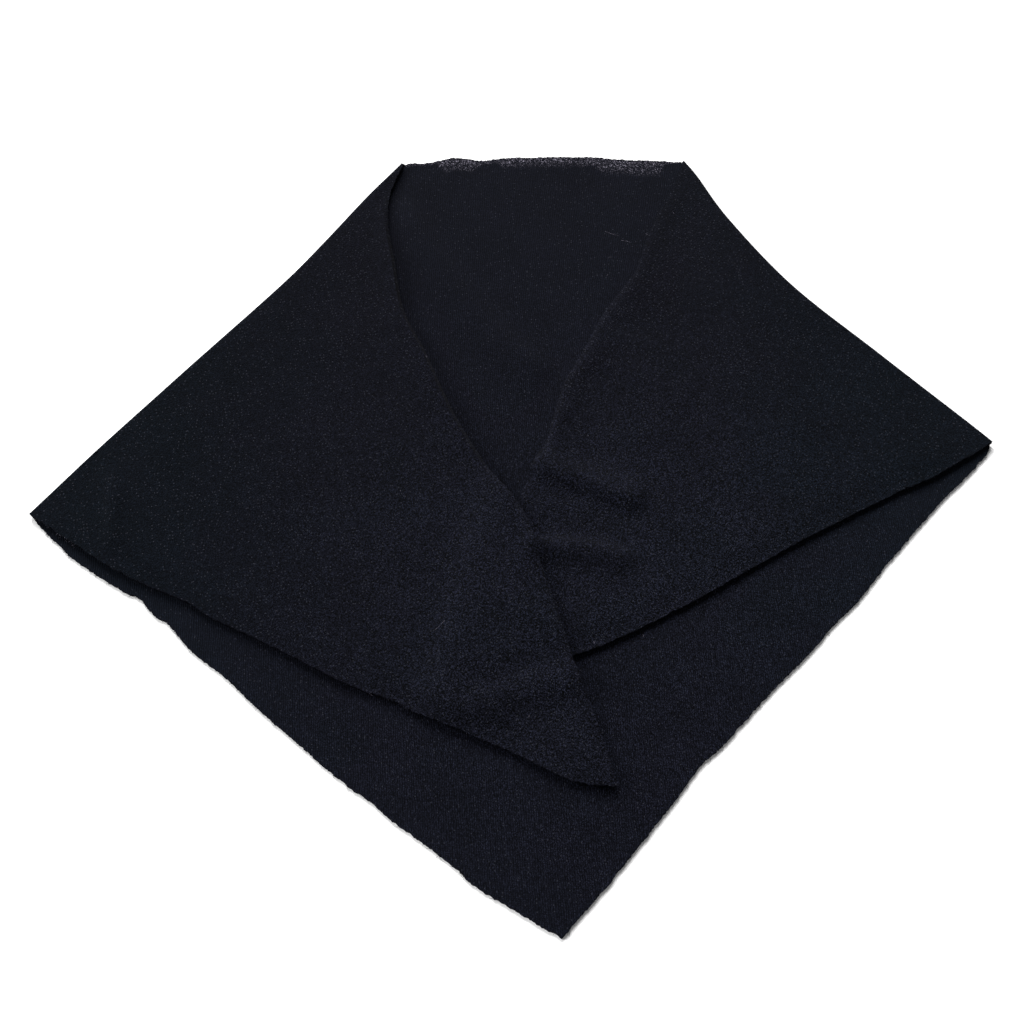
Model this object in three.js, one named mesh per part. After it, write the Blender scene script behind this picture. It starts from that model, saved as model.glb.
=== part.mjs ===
// Neckerchief: one raw-cut triangle of brushed sweatshirt knit, folded and lying flat on a table.
// Both tips are folded forward over the back panel as wings, the left wing over the right one.
// Millimetres, +Z up, +X along the neck edge, +Y from the apex to the neck edge. The underside of
// the back panel is the plane z = 0, and the origin is the middle of the folded outline.

import * as THREE from 'three';

// Cloth
const CLOTH_THICKNESS = 1.6;
const LAYER_GAP = 0.6;
const FOLD_INNER_RADIUS = 1.4;
const SETTLE_LENGTH = 32;

// Folded outline: corners from the middle of the neck edge, lengths from corner to corner, and
// angles in degrees from +X
const LEFT_SHOULDER = new THREE.Vector2(-88, 0.15);
const RIGHT_SHOULDER = new THREE.Vector2(88.15, 1.65);
const APEX = new THREE.Vector2(3.6, -475.4);
const LEFT_FOLD_LENGTH = 315.6;
const LEFT_FOLD_ANGLE = -126.95;
const RIGHT_FOLD_LENGTH = 260.9;
const RIGHT_FOLD_ANGLE = -52.8;
const LEFT_NECK_LENGTH = 422.1;
const LEFT_NECK_ANGLE = -73.49;
const RIGHT_NECK_LENGTH = 378.4;
const RIGHT_NECK_ANGLE = -110.22;

// Slant of the neck edge where it turns round a fold, and the share of the fold that it reaches
const NECK_SLANT = 0.75;
const NECK_SLANT_REACH = 0.15;

// Height and reach of what stands up from the cloth
const EDGE_LIFT = 1.6;
const EDGE_LIFT_REACH = 18;
const WRINKLE_HEIGHT = 3;
const WRINKLE_WIDTH = 9;
const COVER_MARGIN = 9;
const COVER_RAMP = 20;

// Size of the mesh cells
const PANEL_CELL = 14;
const WING_CELL = 12.5;
const FOLD_STEPS = 7;

const CLOTH_COLOUR = 0x17181f;
const CLOTH_ROUGHNESS = 0.95;

// How far each edge bows out of the straight line between its corners, as shares of that line
const NECK_BOW = [
  { along: 0.02, out: 0.0056 },
  { along: 0.07, out: 0.0056 },
  { along: 0.11, out: 0.0155 },
  { along: 0.16, out: 0.0286 },
  { along: 0.205, out: 0.0285 },
  { along: 0.25, out: 0.0186 },
  { along: 0.29, out: 0.0164 },
  { along: 0.38, out: 0.0283 },
  { along: 0.6, out: 0.0298 },
  { along: 0.69, out: 0.0286 },
  { along: 0.78, out: 0.016 },
  { along: 0.95, out: 0.0055 },
];
const LEFT_PANEL_HEM_BOW = [
  { along: 0.03, out: 0.005 },
  { along: 0.11, out: 0.0106 },
  { along: 0.2, out: 0.0022 },
  { along: 0.222, out: -0.0042 },
  { along: 0.26, out: 0.0028 },
  { along: 0.282, out: -0.0012 },
  { along: 0.34, out: 0.0088 },
  { along: 0.42, out: 0.0085 },
  { along: 0.48, out: 0.014 },
  { along: 0.64, out: 0.0196 },
  { along: 0.68, out: 0.0168 },
  { along: 0.73, out: 0.0186 },
  { along: 0.79, out: 0.0158 },
  { along: 0.84, out: 0.0155 },
  { along: 0.88, out: 0.0166 },
];
const RIGHT_PANEL_HEM_BOW = [
  { along: 0.01, out: 0.0052 },
  { along: 0.04, out: 0.0062 },
  { along: 0.08, out: 0.005 },
  { along: 0.13, out: 0.001 },
  { along: 0.28, out: 0.0015 },
  { along: 0.35, out: 0.005 },
  { along: 0.4, out: 0.0013 },
  { along: 0.46, out: 0.0014 },
  { along: 0.55, out: -0.004 },
  { along: 0.66, out: -0.0058 },
  { along: 0.7, out: -0.0108 },
  { along: 0.75, out: -0.0062 },
  { along: 0.9, out: 0.0002 },
];
const LEFT_FOLD_BOW = [
  { along: 0.12, out: -0.004 },
  { along: 0.345, out: -0.0155 },
  { along: 0.6, out: -0.008 },
  { along: 0.82, out: -0.001 },
];
const RIGHT_FOLD_BOW = [
  { along: 0.06, out: -0.008 },
  { along: 0.207, out: -0.037 },
  { along: 0.44, out: -0.053 },
  { along: 0.7, out: -0.029 },
  { along: 0.93, out: -0.006 },
];
const LEFT_NECK_BOW = [
  { along: 0.039, out: -0.0254 },
  { along: 0.072, out: -0.0407 },
  { along: 0.113, out: -0.0509 },
  { along: 0.177, out: -0.0585 },
  { along: 0.265, out: -0.0672 },
  { along: 0.345, out: -0.0564 },
  { along: 0.41, out: -0.0507 },
  { along: 0.469, out: -0.0429 },
  { along: 0.552, out: -0.0245 },
  { along: 0.6, out: -0.0085 },
  { along: 0.642, out: 0.0002 },
  { along: 0.702, out: -0.0027 },
  { along: 0.85, out: -0.0025 },
  { along: 0.9, out: 0 },
];
const RIGHT_NECK_BOW = [
  { along: 0.05, out: -0.0015 },
  { along: 0.158, out: 0.006 },
  { along: 0.223, out: 0.0026 },
  { along: 0.26, out: 0.0045 },
  { along: 0.343, out: 0.0228 },
  { along: 0.42, out: 0.0288 },
  { along: 0.485, out: 0.0368 },
  { along: 0.535, out: 0.0335 },
  { along: 0.59, out: 0.0272 },
  { along: 0.644, out: 0.0325 },
  { along: 0.72, out: 0.03 },
  { along: 0.85, out: 0.017 },
];
const LEFT_WING_HEM_BOW = [
  { along: 0.172, out: 0.024 },
  { along: 0.26, out: 0.023 },
  { along: 0.306, out: 0.0216 },
  { along: 0.345, out: 0.0277 },
  { along: 0.46, out: 0.0284 },
  { along: 0.565, out: 0.0322 },
  { along: 0.6, out: 0.0312 },
  { along: 0.645, out: 0.0256 },
  { along: 0.69, out: 0.0274 },
  { along: 0.735, out: 0.0244 },
  { along: 0.84, out: 0.02 },
  { along: 0.9, out: 0.0217 },
  { along: 0.945, out: 0.02 },
  { along: 0.976, out: 0.0101 },
];
const RIGHT_WING_HEM_BOW = [
  { along: 0.03, out: 0.004 },
  { along: 0.068, out: 0.0072 },
  { along: 0.13, out: 0.0126 },
  { along: 0.2, out: 0.0102 },
  { along: 0.3, out: 0.0122 },
  { along: 0.44, out: 0.018 },
  { along: 0.55, out: 0.0266 },
  { along: 0.62, out: 0.031 },
  { along: 0.76, out: 0.0328 },
  { along: 0.83, out: 0.026 },
];

// How far the free edges of the wings stand up, as shares of EDGE_LIFT, from the fold to the tip
const LEFT_NECK_LIFT = [
  { along: 0, share: 0 },
  { along: 0.1, share: 0.9 },
  { along: 0.3, share: 1 },
  { along: 0.58, share: 0.4 },
  { along: 0.85, share: 0 },
  { along: 1, share: 0.5 },
];
const LEFT_HEM_LIFT = [
  { along: 0, share: 0 },
  { along: 0.16, share: 0.8 },
  { along: 0.35, share: 0.4 },
  { along: 0.55, share: 0.6 },
  { along: 0.78, share: 0.4 },
  { along: 0.94, share: 1 },
  { along: 1, share: 0.8 },
];
const RIGHT_NECK_LIFT = [
  { along: 0, share: 0 },
  { along: 0.15, share: 0.2 },
  { along: 0.48, share: 0.8 },
  { along: 0.6, share: 0.3 },
  { along: 0.75, share: 0 },
  { along: 1, share: 0 },
];
const RIGHT_HEM_LIFT = [
  { along: 0, share: 0 },
  { along: 0.08, share: 0.9 },
  { along: 0.35, share: 0.6 },
  { along: 0.6, share: 0.65 },
  { along: 0.75, share: 0 },
  { along: 0.81, share: 0.35 },
  { along: 0.9, share: 0 },
  { along: 1, share: 0 },
];

// Size of each fold from the shoulder to its corner, as shares of FOLD_INNER_RADIUS
const LEFT_FOLD_FULLNESS = [
  { along: 0, share: 0.55 },
  { along: 0.1, share: 1 },
  { along: 0.4, share: 1 },
  { along: 1, share: 0.45 },
];
const RIGHT_FOLD_FULLNESS = [
  { along: 0, share: 0.9 },
  { along: 0.4, share: 1 },
  { along: 1, share: 0.45 },
];

// Wrinkles: soft ridges from one place to another. The places are shares of the panel's depth, across
// and down from the middle of the neck edge. The widths to the left and to the right of the way are
// shares of WRINKLE_WIDTH, and the height is a share of WRINKLE_HEIGHT
const PANEL_WRINKLES = [
  { across: -0.169, down: 0.076, toAcross: -0.107, toDown: 0.2, left: 2.6, right: 0.9, height: 0.7 },
  { across: -0.107, down: 0.2, toAcross: -0.045, toDown: 0.284, left: 2.6, right: 0.9, height: 0.7 },
  { across: -0.045, down: 0.284, toAcross: -0.001, toDown: 0.325, left: 2.2, right: 0.9, height: 0.4 },
];
const RIGHT_WRINKLES = [
  { across: 0.01, down: 0.47, toAcross: 0.093, toDown: 0.507, left: 1.2, right: 0.9, height: 0.8 },
  { across: 0, down: 0.578, toAcross: 0.081, toDown: 0.592, left: 1.2, right: 0.9, height: 0.6 },
  { across: 0.095, down: 0.27, toAcross: 0.19, toDown: 0.385, left: 2.4, right: 2.4, height: 0.3 },
];
const LEFT_WRINKLES = [
  { across: -0.503, down: 0.475, toAcross: -0.484, toDown: 0.585, left: 1, right: 1, height: 0.4 },
  { across: -0.25, down: 0.3, toAcross: -0.165, toDown: 0.275, left: 1.4, right: 1.4, height: 0.2 },
  { across: -0.3, down: 0.43, toAcross: -0.12, toDown: 0.45, left: 2.4, right: 2.4, height: 0.25 },
];

const LAYER_STEP = CLOTH_THICKNESS + LAYER_GAP;
const EDGE_SAMPLES = 72;
const ON_WING = Math.PI / 2;
const ON_PANEL = -Math.PI / 2;

// Smooth step from 0 to 1
function ease(value) {
  const t = THREE.MathUtils.clamp(value, 0, 1);
  return t * t * (3 - 2 * t);
}

// Value of a table of shares at one place along it, eased from row to row
function shareAt(rows, along) {
  const next = rows.findIndex((row) => row.along >= along);
  if (next <= 0) {
    return rows[Math.max(next, 0)].share;
  }
  const before = rows[next - 1];
  const after = rows[next];
  const part = ease((along - before.along) / (after.along - before.along));
  return THREE.MathUtils.lerp(before.share, after.share, part);
}

// Point at a length and an angle from another point
function cornerFrom(start, length, angle) {
  const turn = THREE.MathUtils.degToRad(angle);
  return new THREE.Vector2(Math.cos(turn), Math.sin(turn)).multiplyScalar(length).add(start);
}

// Curve between two corners. The side is 1 where the outside of the cloth lies to the left of the
// way from start to end, and -1 where it lies to the right
function edgeCurve(start, end, bow, side) {
  const line = new THREE.Vector2().subVectors(end, start);
  const outward = new THREE.Vector2(-line.y, line.x).multiplyScalar(side);
  const points = bow.map((row) => start.clone()
    .addScaledVector(line, row.along)
    .addScaledVector(outward, row.out));
  return new THREE.SplineCurve([start, ...points, end]);
}

// Nearest place on a curve's samples: its distance, its share of the way, and its side, from 1 to
// the left of the way to -1 to the right of it
function nearestOn(samples, point) {
  let best = { distance: Infinity, along: 0, side: 1 };
  for (let i = 1; i < samples.length; i += 1) {
    const step = new THREE.Vector2().subVectors(samples[i], samples[i - 1]);
    const offset = new THREE.Vector2().subVectors(point, samples[i - 1]);
    const part = THREE.MathUtils.clamp(offset.dot(step) / step.lengthSq(), 0, 1);
    const beside = step.cross(offset) / step.length();
    const distance = offset.addScaledVector(step, -part).length();
    if (distance < best.distance) {
      best = { distance, along: (i - 1 + part) / (samples.length - 1), side: beside / (distance || 1) };
    }
  }
  return best;
}

// One side of the folded cloth: its fold, its wing's two free edges and the panel's hem below it.
// Seen from above, the outside of the left one lies to the right of the way down its fold
function foldedSide(shape) {
  const corner = cornerFrom(shape.shoulder, shape.foldLength, shape.foldAngle);
  const tip = cornerFrom(shape.shoulder, shape.neckLength, shape.neckAngle);
  const rim = edgeCurve(shape.shoulder, corner, shape.foldBow, shape.side);
  const foldRadiusAt = (share) => (
    FOLD_INNER_RADIUS * shareAt(shape.fullness, share) + CLOTH_THICKNESS / 2
  );
  const outwardAt = (share) => {
    const along = rim.getTangentAt(share);
    return new THREE.Vector2(-along.y, along.x).multiplyScalar(shape.side);
  };
  // The line round which the cloth turns, inside the rim by the outer radius of the fold
  const foldAt = (share) => rim.getPointAt(share)
    .addScaledVector(outwardAt(share), -foldRadiusAt(share) - CLOTH_THICKNESS / 2);
  // The same line as the cloth reaches it part of the way round: the slanting cut of the neck edge
  // slips it down on the wing and up on the panel
  const layerAt = (share, turn) => {
    const slip = NECK_SLANT * foldRadiusAt(share) * turn * (1 - ease(share / NECK_SLANT_REACH));
    return foldAt(share).addScaledVector(rim.getTangentAt(share), slip);
  };
  // How far that line leaves the straight line between its ends
  const bowAt = (share, turn) => layerAt(share, turn)
    .sub(new THREE.Vector2().lerpVectors(layerAt(0, turn), layerAt(1, turn), share));
  const neckEdge = edgeCurve(layerAt(0, ON_WING), tip, shape.neckBow, -shape.side);
  const hem = edgeCurve(foldAt(1), tip, shape.hemBow, shape.side);
  const panelHem = edgeCurve(foldAt(1), APEX, shape.panelHemBow, shape.side);
  const samples = {
    fold: Array.from({ length: EDGE_SAMPLES + 1 }, (_, i) => foldAt(i / EDGE_SAMPLES)),
    neck: neckEdge.getSpacedPoints(EDGE_SAMPLES),
    hem: hem.getSpacedPoints(EDGE_SAMPLES),
  };
  return {
    ...shape, foldRadiusAt, outwardAt, foldAt, layerAt, bowAt, neckEdge, hem, panelHem, samples,
  };
}

const leftSide = foldedSide({
  side: -1,
  shoulder: LEFT_SHOULDER,
  foldLength: LEFT_FOLD_LENGTH,
  foldAngle: LEFT_FOLD_ANGLE,
  foldBow: LEFT_FOLD_BOW,
  fullness: LEFT_FOLD_FULLNESS,
  neckLength: LEFT_NECK_LENGTH,
  neckAngle: LEFT_NECK_ANGLE,
  neckBow: LEFT_NECK_BOW,
  neckLift: LEFT_NECK_LIFT,
  hemBow: LEFT_WING_HEM_BOW,
  hemLift: LEFT_HEM_LIFT,
  panelHemBow: LEFT_PANEL_HEM_BOW,
  wrinkles: LEFT_WRINKLES,
});
const rightSide = foldedSide({
  side: 1,
  shoulder: RIGHT_SHOULDER,
  foldLength: RIGHT_FOLD_LENGTH,
  foldAngle: RIGHT_FOLD_ANGLE,
  foldBow: RIGHT_FOLD_BOW,
  fullness: RIGHT_FOLD_FULLNESS,
  neckLength: RIGHT_NECK_LENGTH,
  neckAngle: RIGHT_NECK_ANGLE,
  neckBow: RIGHT_NECK_BOW,
  neckLift: RIGHT_NECK_LIFT,
  hemBow: RIGHT_WING_HEM_BOW,
  hemLift: RIGHT_HEM_LIFT,
  panelHemBow: RIGHT_PANEL_HEM_BOW,
  wrinkles: RIGHT_WRINKLES,
});
const neckCurve = edgeCurve(leftSide.layerAt(0, ON_PANEL), rightSide.layerAt(0, ON_PANEL), NECK_BOW, 1);

// Height that a table of wrinkles adds at one place. Where rows meet, they blend into one ridge
function wrinkleHeight(wrinkles, point) {
  const depth = -APEX.y;
  return Math.cbrt(wrinkles.reduce((total, row) => {
    const start = new THREE.Vector2(row.across, -row.down).multiplyScalar(depth);
    const end = new THREE.Vector2(row.toAcross, -row.toDown).multiplyScalar(depth);
    const near = nearestOn([start, end], point);
    const width = WRINKLE_WIDTH * THREE.MathUtils.lerp(row.right, row.left, (near.side + 1) / 2);
    return total + (row.height * WRINKLE_HEIGHT * Math.exp(-((near.distance / width) ** 2))) ** 3;
  }, 0));
}

// Height of the middle of the cloth in the back panel
function panelLevel(point) {
  return CLOTH_THICKNESS / 2 + wrinkleHeight(PANEL_WRINKLES, point);
}

// Height that a wing's own wrinkles and lifted edges add, which fades out at its fold
function wingRise(side, point) {
  const neck = nearestOn(side.samples.neck, point);
  const hem = nearestOn(side.samples.hem, point);
  const fold = nearestOn(side.samples.fold, point);
  const lift = [[neck, side.neckLift], [hem, side.hemLift]].reduce((height, [near, rows]) => {
    const off = near.distance / EDGE_LIFT_REACH;
    return height + EDGE_LIFT * shareAt(rows, near.along) * Math.exp(-off * off);
  }, 0);
  return (lift + wrinkleHeight(side.wrinkles, point)) * ease(fold.distance / SETTLE_LENGTH);
}

// Height by which the right wing lifts the left wing that lies over it
function coverHeight(point) {
  const neck = nearestOn(rightSide.samples.neck, point);
  const hem = nearestOn(rightSide.samples.hem, point);
  const inNeck = neck.side > 0 ? neck.distance : -neck.distance;
  const inHem = hem.side > 0 ? -hem.distance : hem.distance;
  const cover = ease((Math.min(inNeck, inHem) + COVER_MARGIN) / COVER_RAMP + 1);
  return cover * (LAYER_STEP + wingRise(rightSide, point));
}

// Height of the middle of the cloth in a wing: it leaves the fold at the fold's full height and
// settles onto what lies under it
function wingLevel(side, point, share) {
  const fold = nearestOn(side.samples.fold, point);
  const foldHeight = 2 * side.foldRadiusAt(share) - LAYER_STEP;
  const settled = foldHeight * (1 - ease(fold.distance / SETTLE_LENGTH));
  const covered = side === leftSide ? coverHeight(point) : 0;
  return panelLevel(point) + LAYER_STEP + settled + covered + wingRise(side, point);
}

// A column of points across the cloth, from the neck edge to the hem
function column(length, cell, pointAt) {
  const steps = Math.ceil(length / cell);
  return Array.from({ length: steps + 1 }, (_, i) => {
    const share = i / steps;
    return { share, point: pointAt(share) };
  });
}

// Straight line from the neck edge to the hem, bowed as the folds near it are
function ruling(neckPoint, hemPoint, turn, folds) {
  return (share) => folds.reduce(
    (point, { side, weight }) => point.addScaledVector(side.bowAt(share, turn), weight),
    new THREE.Vector2().lerpVectors(neckPoint, hemPoint, share),
  );
}

function withHeight(point, height) {
  return new THREE.Vector3(point.x, point.y, height);
}

// Columns of a wing, from its tip to just before its fold
function wingColumns(side) {
  const steps = Math.ceil(side.neckEdge.getLength() / WING_CELL);
  const tip = side.neckEdge.getPointAt(1);
  const columns = [[{ share: 0, point: withHeight(tip, wingLevel(side, tip, 0)) }]];
  for (let i = 1; i < steps; i += 1) {
    const out = 1 - i / steps;
    const neckPoint = side.neckEdge.getPointAt(out);
    const hemPoint = side.hem.getPointAt(out);
    const place = ruling(neckPoint, hemPoint, ON_WING, [{ side, weight: (1 - out) ** 2 }]);
    columns.push(column(neckPoint.distanceTo(hemPoint), WING_CELL, (share) => {
      const point = place(share);
      return withHeight(point, wingLevel(side, point, share));
    }));
  }
  return columns;
}

// Columns round a fold, from the wing over it to the panel under it
function foldColumns(side) {
  const length = side.foldAt(0).distanceTo(side.foldAt(1));
  return Array.from({ length: FOLD_STEPS + 1 }, (_, i) => {
    const turn = THREE.MathUtils.lerp(ON_WING, ON_PANEL, i / FOLD_STEPS);
    return column(length, WING_CELL, (share) => {
      const radius = side.foldRadiusAt(share);
      const fold = side.layerAt(share, turn);
      const height = panelLevel(fold) + radius * (1 + Math.sin(turn));
      return withHeight(fold.addScaledVector(side.outwardAt(share), radius * Math.cos(turn)), height);
    });
  });
}

// Shares of a stretch of the panel's hem, one for each cell along it
function stepsTo(length) {
  const steps = Math.ceil(length / PANEL_CELL);
  return Array.from({ length: steps }, (_, i) => (i + 1) / steps);
}

// Columns of the back panel between the folds, one of them from the neck edge to the apex
function panelColumns() {
  const leftLength = leftSide.panelHem.getLength();
  const rightLength = rightSide.panelHem.getLength();
  const apexShare = leftLength / (leftLength + rightLength);
  const toApex = stepsTo(leftLength).map((share) => ({ fromLeft: share, fromRight: 1 }));
  const toRight = stepsTo(rightLength).slice(0, -1).map((share) => ({ fromLeft: 1, fromRight: 1 - share }));
  return [...toApex, ...toRight].map(({ fromLeft, fromRight }) => {
    const across = apexShare * fromLeft + (1 - apexShare) * (1 - fromRight);
    const neckPoint = neckCurve.getPointAt(across);
    const hemPoint = fromLeft < 1
      ? leftSide.panelHem.getPointAt(fromLeft)
      : rightSide.panelHem.getPointAt(fromRight);
    const place = ruling(neckPoint, hemPoint, ON_PANEL, [
      { side: leftSide, weight: (1 - fromLeft) ** 2 },
      { side: rightSide, weight: (1 - fromRight) ** 2 },
    ]);
    return column(neckPoint.distanceTo(hemPoint), PANEL_CELL, (share) => {
      const point = place(share);
      return withHeight(point, panelLevel(point));
    });
  });
}

// Triangles between two neighbouring columns, which may have different numbers of points
function stitch(left, right) {
  const triangles = [];
  let i = 0;
  let j = 0;
  while (i < left.length - 1 || j < right.length - 1) {
    const isLeftNext = j === right.length - 1
      || (i < left.length - 1 && left[i + 1].share <= right[j + 1].share);
    if (isLeftNext) {
      triangles.push([left[i].index, left[i + 1].index, right[j].index]);
      i += 1;
    } else {
      triangles.push([left[i].index, right[j + 1].index, right[j].index]);
      j += 1;
    }
  }
  return triangles;
}

// Middle surface of the whole cloth, from the left tip to the right tip
function middleSurface() {
  const columns = [
    ...wingColumns(leftSide),
    ...foldColumns(leftSide),
    ...panelColumns(),
    ...foldColumns(rightSide).reverse(),
    ...wingColumns(rightSide).reverse(),
  ];
  const places = columns.flat();
  places.forEach((place, index) => {
    place.index = index;
  });
  const triangles = columns.slice(1).flatMap((right, i) => stitch(columns[i], right));
  const surface = new THREE.BufferGeometry().setFromPoints(places.map((place) => place.point));
  surface.setIndex(triangles.flat());
  surface.computeVertexNormals();
  const neckEdge = columns.map((places) => places[0].index);
  const hem = columns.slice(1, -1).map((places) => places[places.length - 1].index).reverse();
  return { surface, rim: [...neckEdge, ...hem] };
}

// Closed wall of cloth: the middle surface moved out to both faces, and joined round its cut edge
function clothSolid({ surface, rim }) {
  const middle = surface.getAttribute('position');
  const normal = surface.getAttribute('normal');
  const index = Array.from(surface.getIndex().array);
  const points = [CLOTH_THICKNESS / 2, -CLOTH_THICKNESS / 2].flatMap((offset) => (
    Array.from({ length: middle.count }, (_, i) => new THREE.Vector3()
      .fromBufferAttribute(normal, i)
      .multiplyScalar(offset)
      .add(new THREE.Vector3().fromBufferAttribute(middle, i)))
  ));
  const under = middle.count;
  const triangles = [...index];
  for (let i = 0; i < index.length; i += 3) {
    triangles.push(index[i] + under, index[i + 2] + under, index[i + 1] + under);
  }
  rim.forEach((from, i) => {
    const to = rim[(i + 1) % rim.length];
    triangles.push(from, to, to + under, from, to + under, from + under);
  });
  const solid = new THREE.BufferGeometry().setFromPoints(points);
  solid.setIndex(triangles);
  solid.computeVertexNormals();
  return solid;
}

// The origin goes under the middle of the folded outline
function centreOutline(solid) {
  solid.computeBoundingBox();
  const centre = solid.boundingBox.getCenter(new THREE.Vector3());
  return solid.translate(-centre.x, -centre.y, 0);
}

const cloth = new THREE.Mesh(
  centreOutline(clothSolid(middleSurface())),
  new THREE.MeshStandardMaterial({ color: CLOTH_COLOUR, roughness: CLOTH_ROUGHNESS, metalness: 0 }),
);
cloth.name = 'neckerchief';

const neckerchief = new THREE.Group();
neckerchief.add(cloth);

export default neckerchief;
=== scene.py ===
import logging
import math
from contextlib import contextmanager
from dataclasses import dataclass
from enum import Enum
from typing import Iterator, NamedTuple, Optional, Sequence, Union

import bmesh
import bpy
import numpy as np
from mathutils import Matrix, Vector, noise


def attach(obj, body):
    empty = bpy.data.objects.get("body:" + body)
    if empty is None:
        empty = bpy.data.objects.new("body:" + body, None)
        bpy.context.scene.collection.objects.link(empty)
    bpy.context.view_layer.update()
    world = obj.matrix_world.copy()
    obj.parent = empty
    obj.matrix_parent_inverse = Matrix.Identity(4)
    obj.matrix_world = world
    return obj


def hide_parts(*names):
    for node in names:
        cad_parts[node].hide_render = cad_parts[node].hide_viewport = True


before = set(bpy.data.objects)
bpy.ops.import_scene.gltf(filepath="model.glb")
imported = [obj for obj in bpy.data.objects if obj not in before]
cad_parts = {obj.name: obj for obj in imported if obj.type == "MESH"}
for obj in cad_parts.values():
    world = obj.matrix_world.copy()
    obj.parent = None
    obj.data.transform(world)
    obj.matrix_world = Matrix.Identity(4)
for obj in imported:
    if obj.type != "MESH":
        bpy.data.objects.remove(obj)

Array = np.ndarray
Value = Union[float, tuple, bpy.types.NodeSocket]

LOG = logging.getLogger("neckerchief")

NODE = "neckerchief"
BODY = "root"

MM = 0.001
THICKNESS = 1.6 * MM
LAYER_GAP = 0.45 * MM
LAYER_STEP = THICKNESS + LAYER_GAP
SETTLE_LENGTH = 32 * MM
PANEL_DEPTH = 475.4 * MM
APEX_SHIFT = 3.6 * MM
OUTLINE_CENTRE = (-15.91 * MM, -234.333 * MM)
ON_WING = math.pi / 2
ON_PANEL = -math.pi / 2
FUZZ_RATIO_CAP = 6.0
SPAN_POINTS = 41
NECK_POINTS = 121
TANGENT_STEP = 0.004
POINTS_AT_ONCE = 4000
TINY = 1e-12
NOISE_RANGE = (0.3, 0.7)
MIX_FIRST, MIX_SECOND, MIX_COLOUR = 6, 7, 2


class Bow(NamedTuple):
    """How far an edge bows outwards at one place, both as shares of its straight length."""

    along: float
    out: float


class Share(NamedTuple):
    """A share of some height or size, at one place along an edge."""

    along: float
    share: float


class Wrinkle(NamedTuple):
    """Soft ridge along a way, given in shares of the panel's depth across and down from the neck.

    Its widths to the left and to the right of the way and its height are in mm.
    """

    way: tuple
    left: float
    right: float
    height: float


class Thread(NamedTuple):
    """Stray bit of thread: its place as for a wrinkle, its heading and the turn of each third of
    its length in degrees, and its length in mm."""

    across: float
    down: float
    heading: float
    turn: float
    length: float


class Fray(NamedTuple):
    """Extra loose fibres round one place of the outline, in metres."""

    x: float
    y: float
    reach: float
    more: float


class Ripple(NamedTuple):
    """Gentle unevenness: length of one undulation and greatest height in metres, and its pattern."""

    size: float
    height: float
    seed: float


PANEL_RIPPLE = Ripple(34 * MM, 0.35 * MM, 1.3)
WING_RIPPLES = (Ripple(30 * MM, 0.6 * MM, 0.0), Ripple(11 * MM, 0.16 * MM, 5.0))
NECK_BOW = (
    Bow(0.02, 0.0056), Bow(0.07, 0.0056), Bow(0.11, 0.0155), Bow(0.16, 0.0286), Bow(0.205, 0.0285),
    Bow(0.25, 0.0186), Bow(0.29, 0.0164), Bow(0.38, 0.0283), Bow(0.6, 0.0298), Bow(0.69, 0.0286),
    Bow(0.78, 0.016), Bow(0.95, 0.0055),
)
PANEL_WRINKLES = (
    Wrinkle(
        ((-0.186, 0.04), (-0.173, 0.079), (-0.143, 0.142), (-0.111, 0.203), (-0.084, 0.247),
         (-0.049, 0.287), (-0.005, 0.328), (0.016, 0.343)),
        7.0, 19.0, 2.0,
    ),
    Wrinkle(((-0.169, 0.868), (-0.113, 0.852), (0.009, 0.839), (0.152, 0.829)), 3.0, 3.0, 0.35),
)
PANEL_THREADS = (
    Thread(0.051, 0.846, 20, 40, 1.4),
    Thread(0.101, 0.681, 70, 30, 1.2),
)
NECK_FUZZ_DEPTH = (
    Share(0.0, 0.0018), Share(0.1, 0.0018), Share(0.13, 0.009), Share(0.25, 0.009),
    Share(0.285, 0.003), Share(0.335, 0.003), Share(0.35, 0.007), Share(0.7, 0.007),
    Share(0.73, 0.0105), Share(0.93, 0.0105), Share(0.96, 0.002), Share(1.0, 0.001),
)


def ease(value: Array) -> Array:
    """Smooth step from 0 to 1."""
    t = np.clip(value, 0.0, 1.0)
    return t * t * (3.0 - 2.0 * t)


def share_at(rows: Sequence[Share], along: Array) -> Array:
    """Value of a table of shares, eased from row to row.

    Args:
        rows: the table, in order along the edge.
        along: where to read it, from 0 to 1.

    Returns:
        One value for each place.
    """
    places = np.array([row.along for row in rows])
    values = np.array([row.share for row in rows])
    after = np.clip(np.searchsorted(places, along), 1, len(rows) - 1)
    before = after - 1
    part = ease((along - places[before]) / (places[after] - places[before]))
    return values[before] + (values[after] - values[before]) * part


def ripple_height(row: Ripple, points: Array, seed: float = 0.0) -> Array:
    """Height of gentle unevenness, never below zero.

    Args:
        row: its sizes and pattern.
        points: places, seen from above.
        seed: added to the row's own seed.

    Returns:
        One height for each place.
    """
    values = [noise.noise((x / row.size, y / row.size, row.seed + seed)) for x, y in points]
    return row.height * np.clip(np.array(values) * 0.5 + 0.5, 0.0, 1.0)


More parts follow.
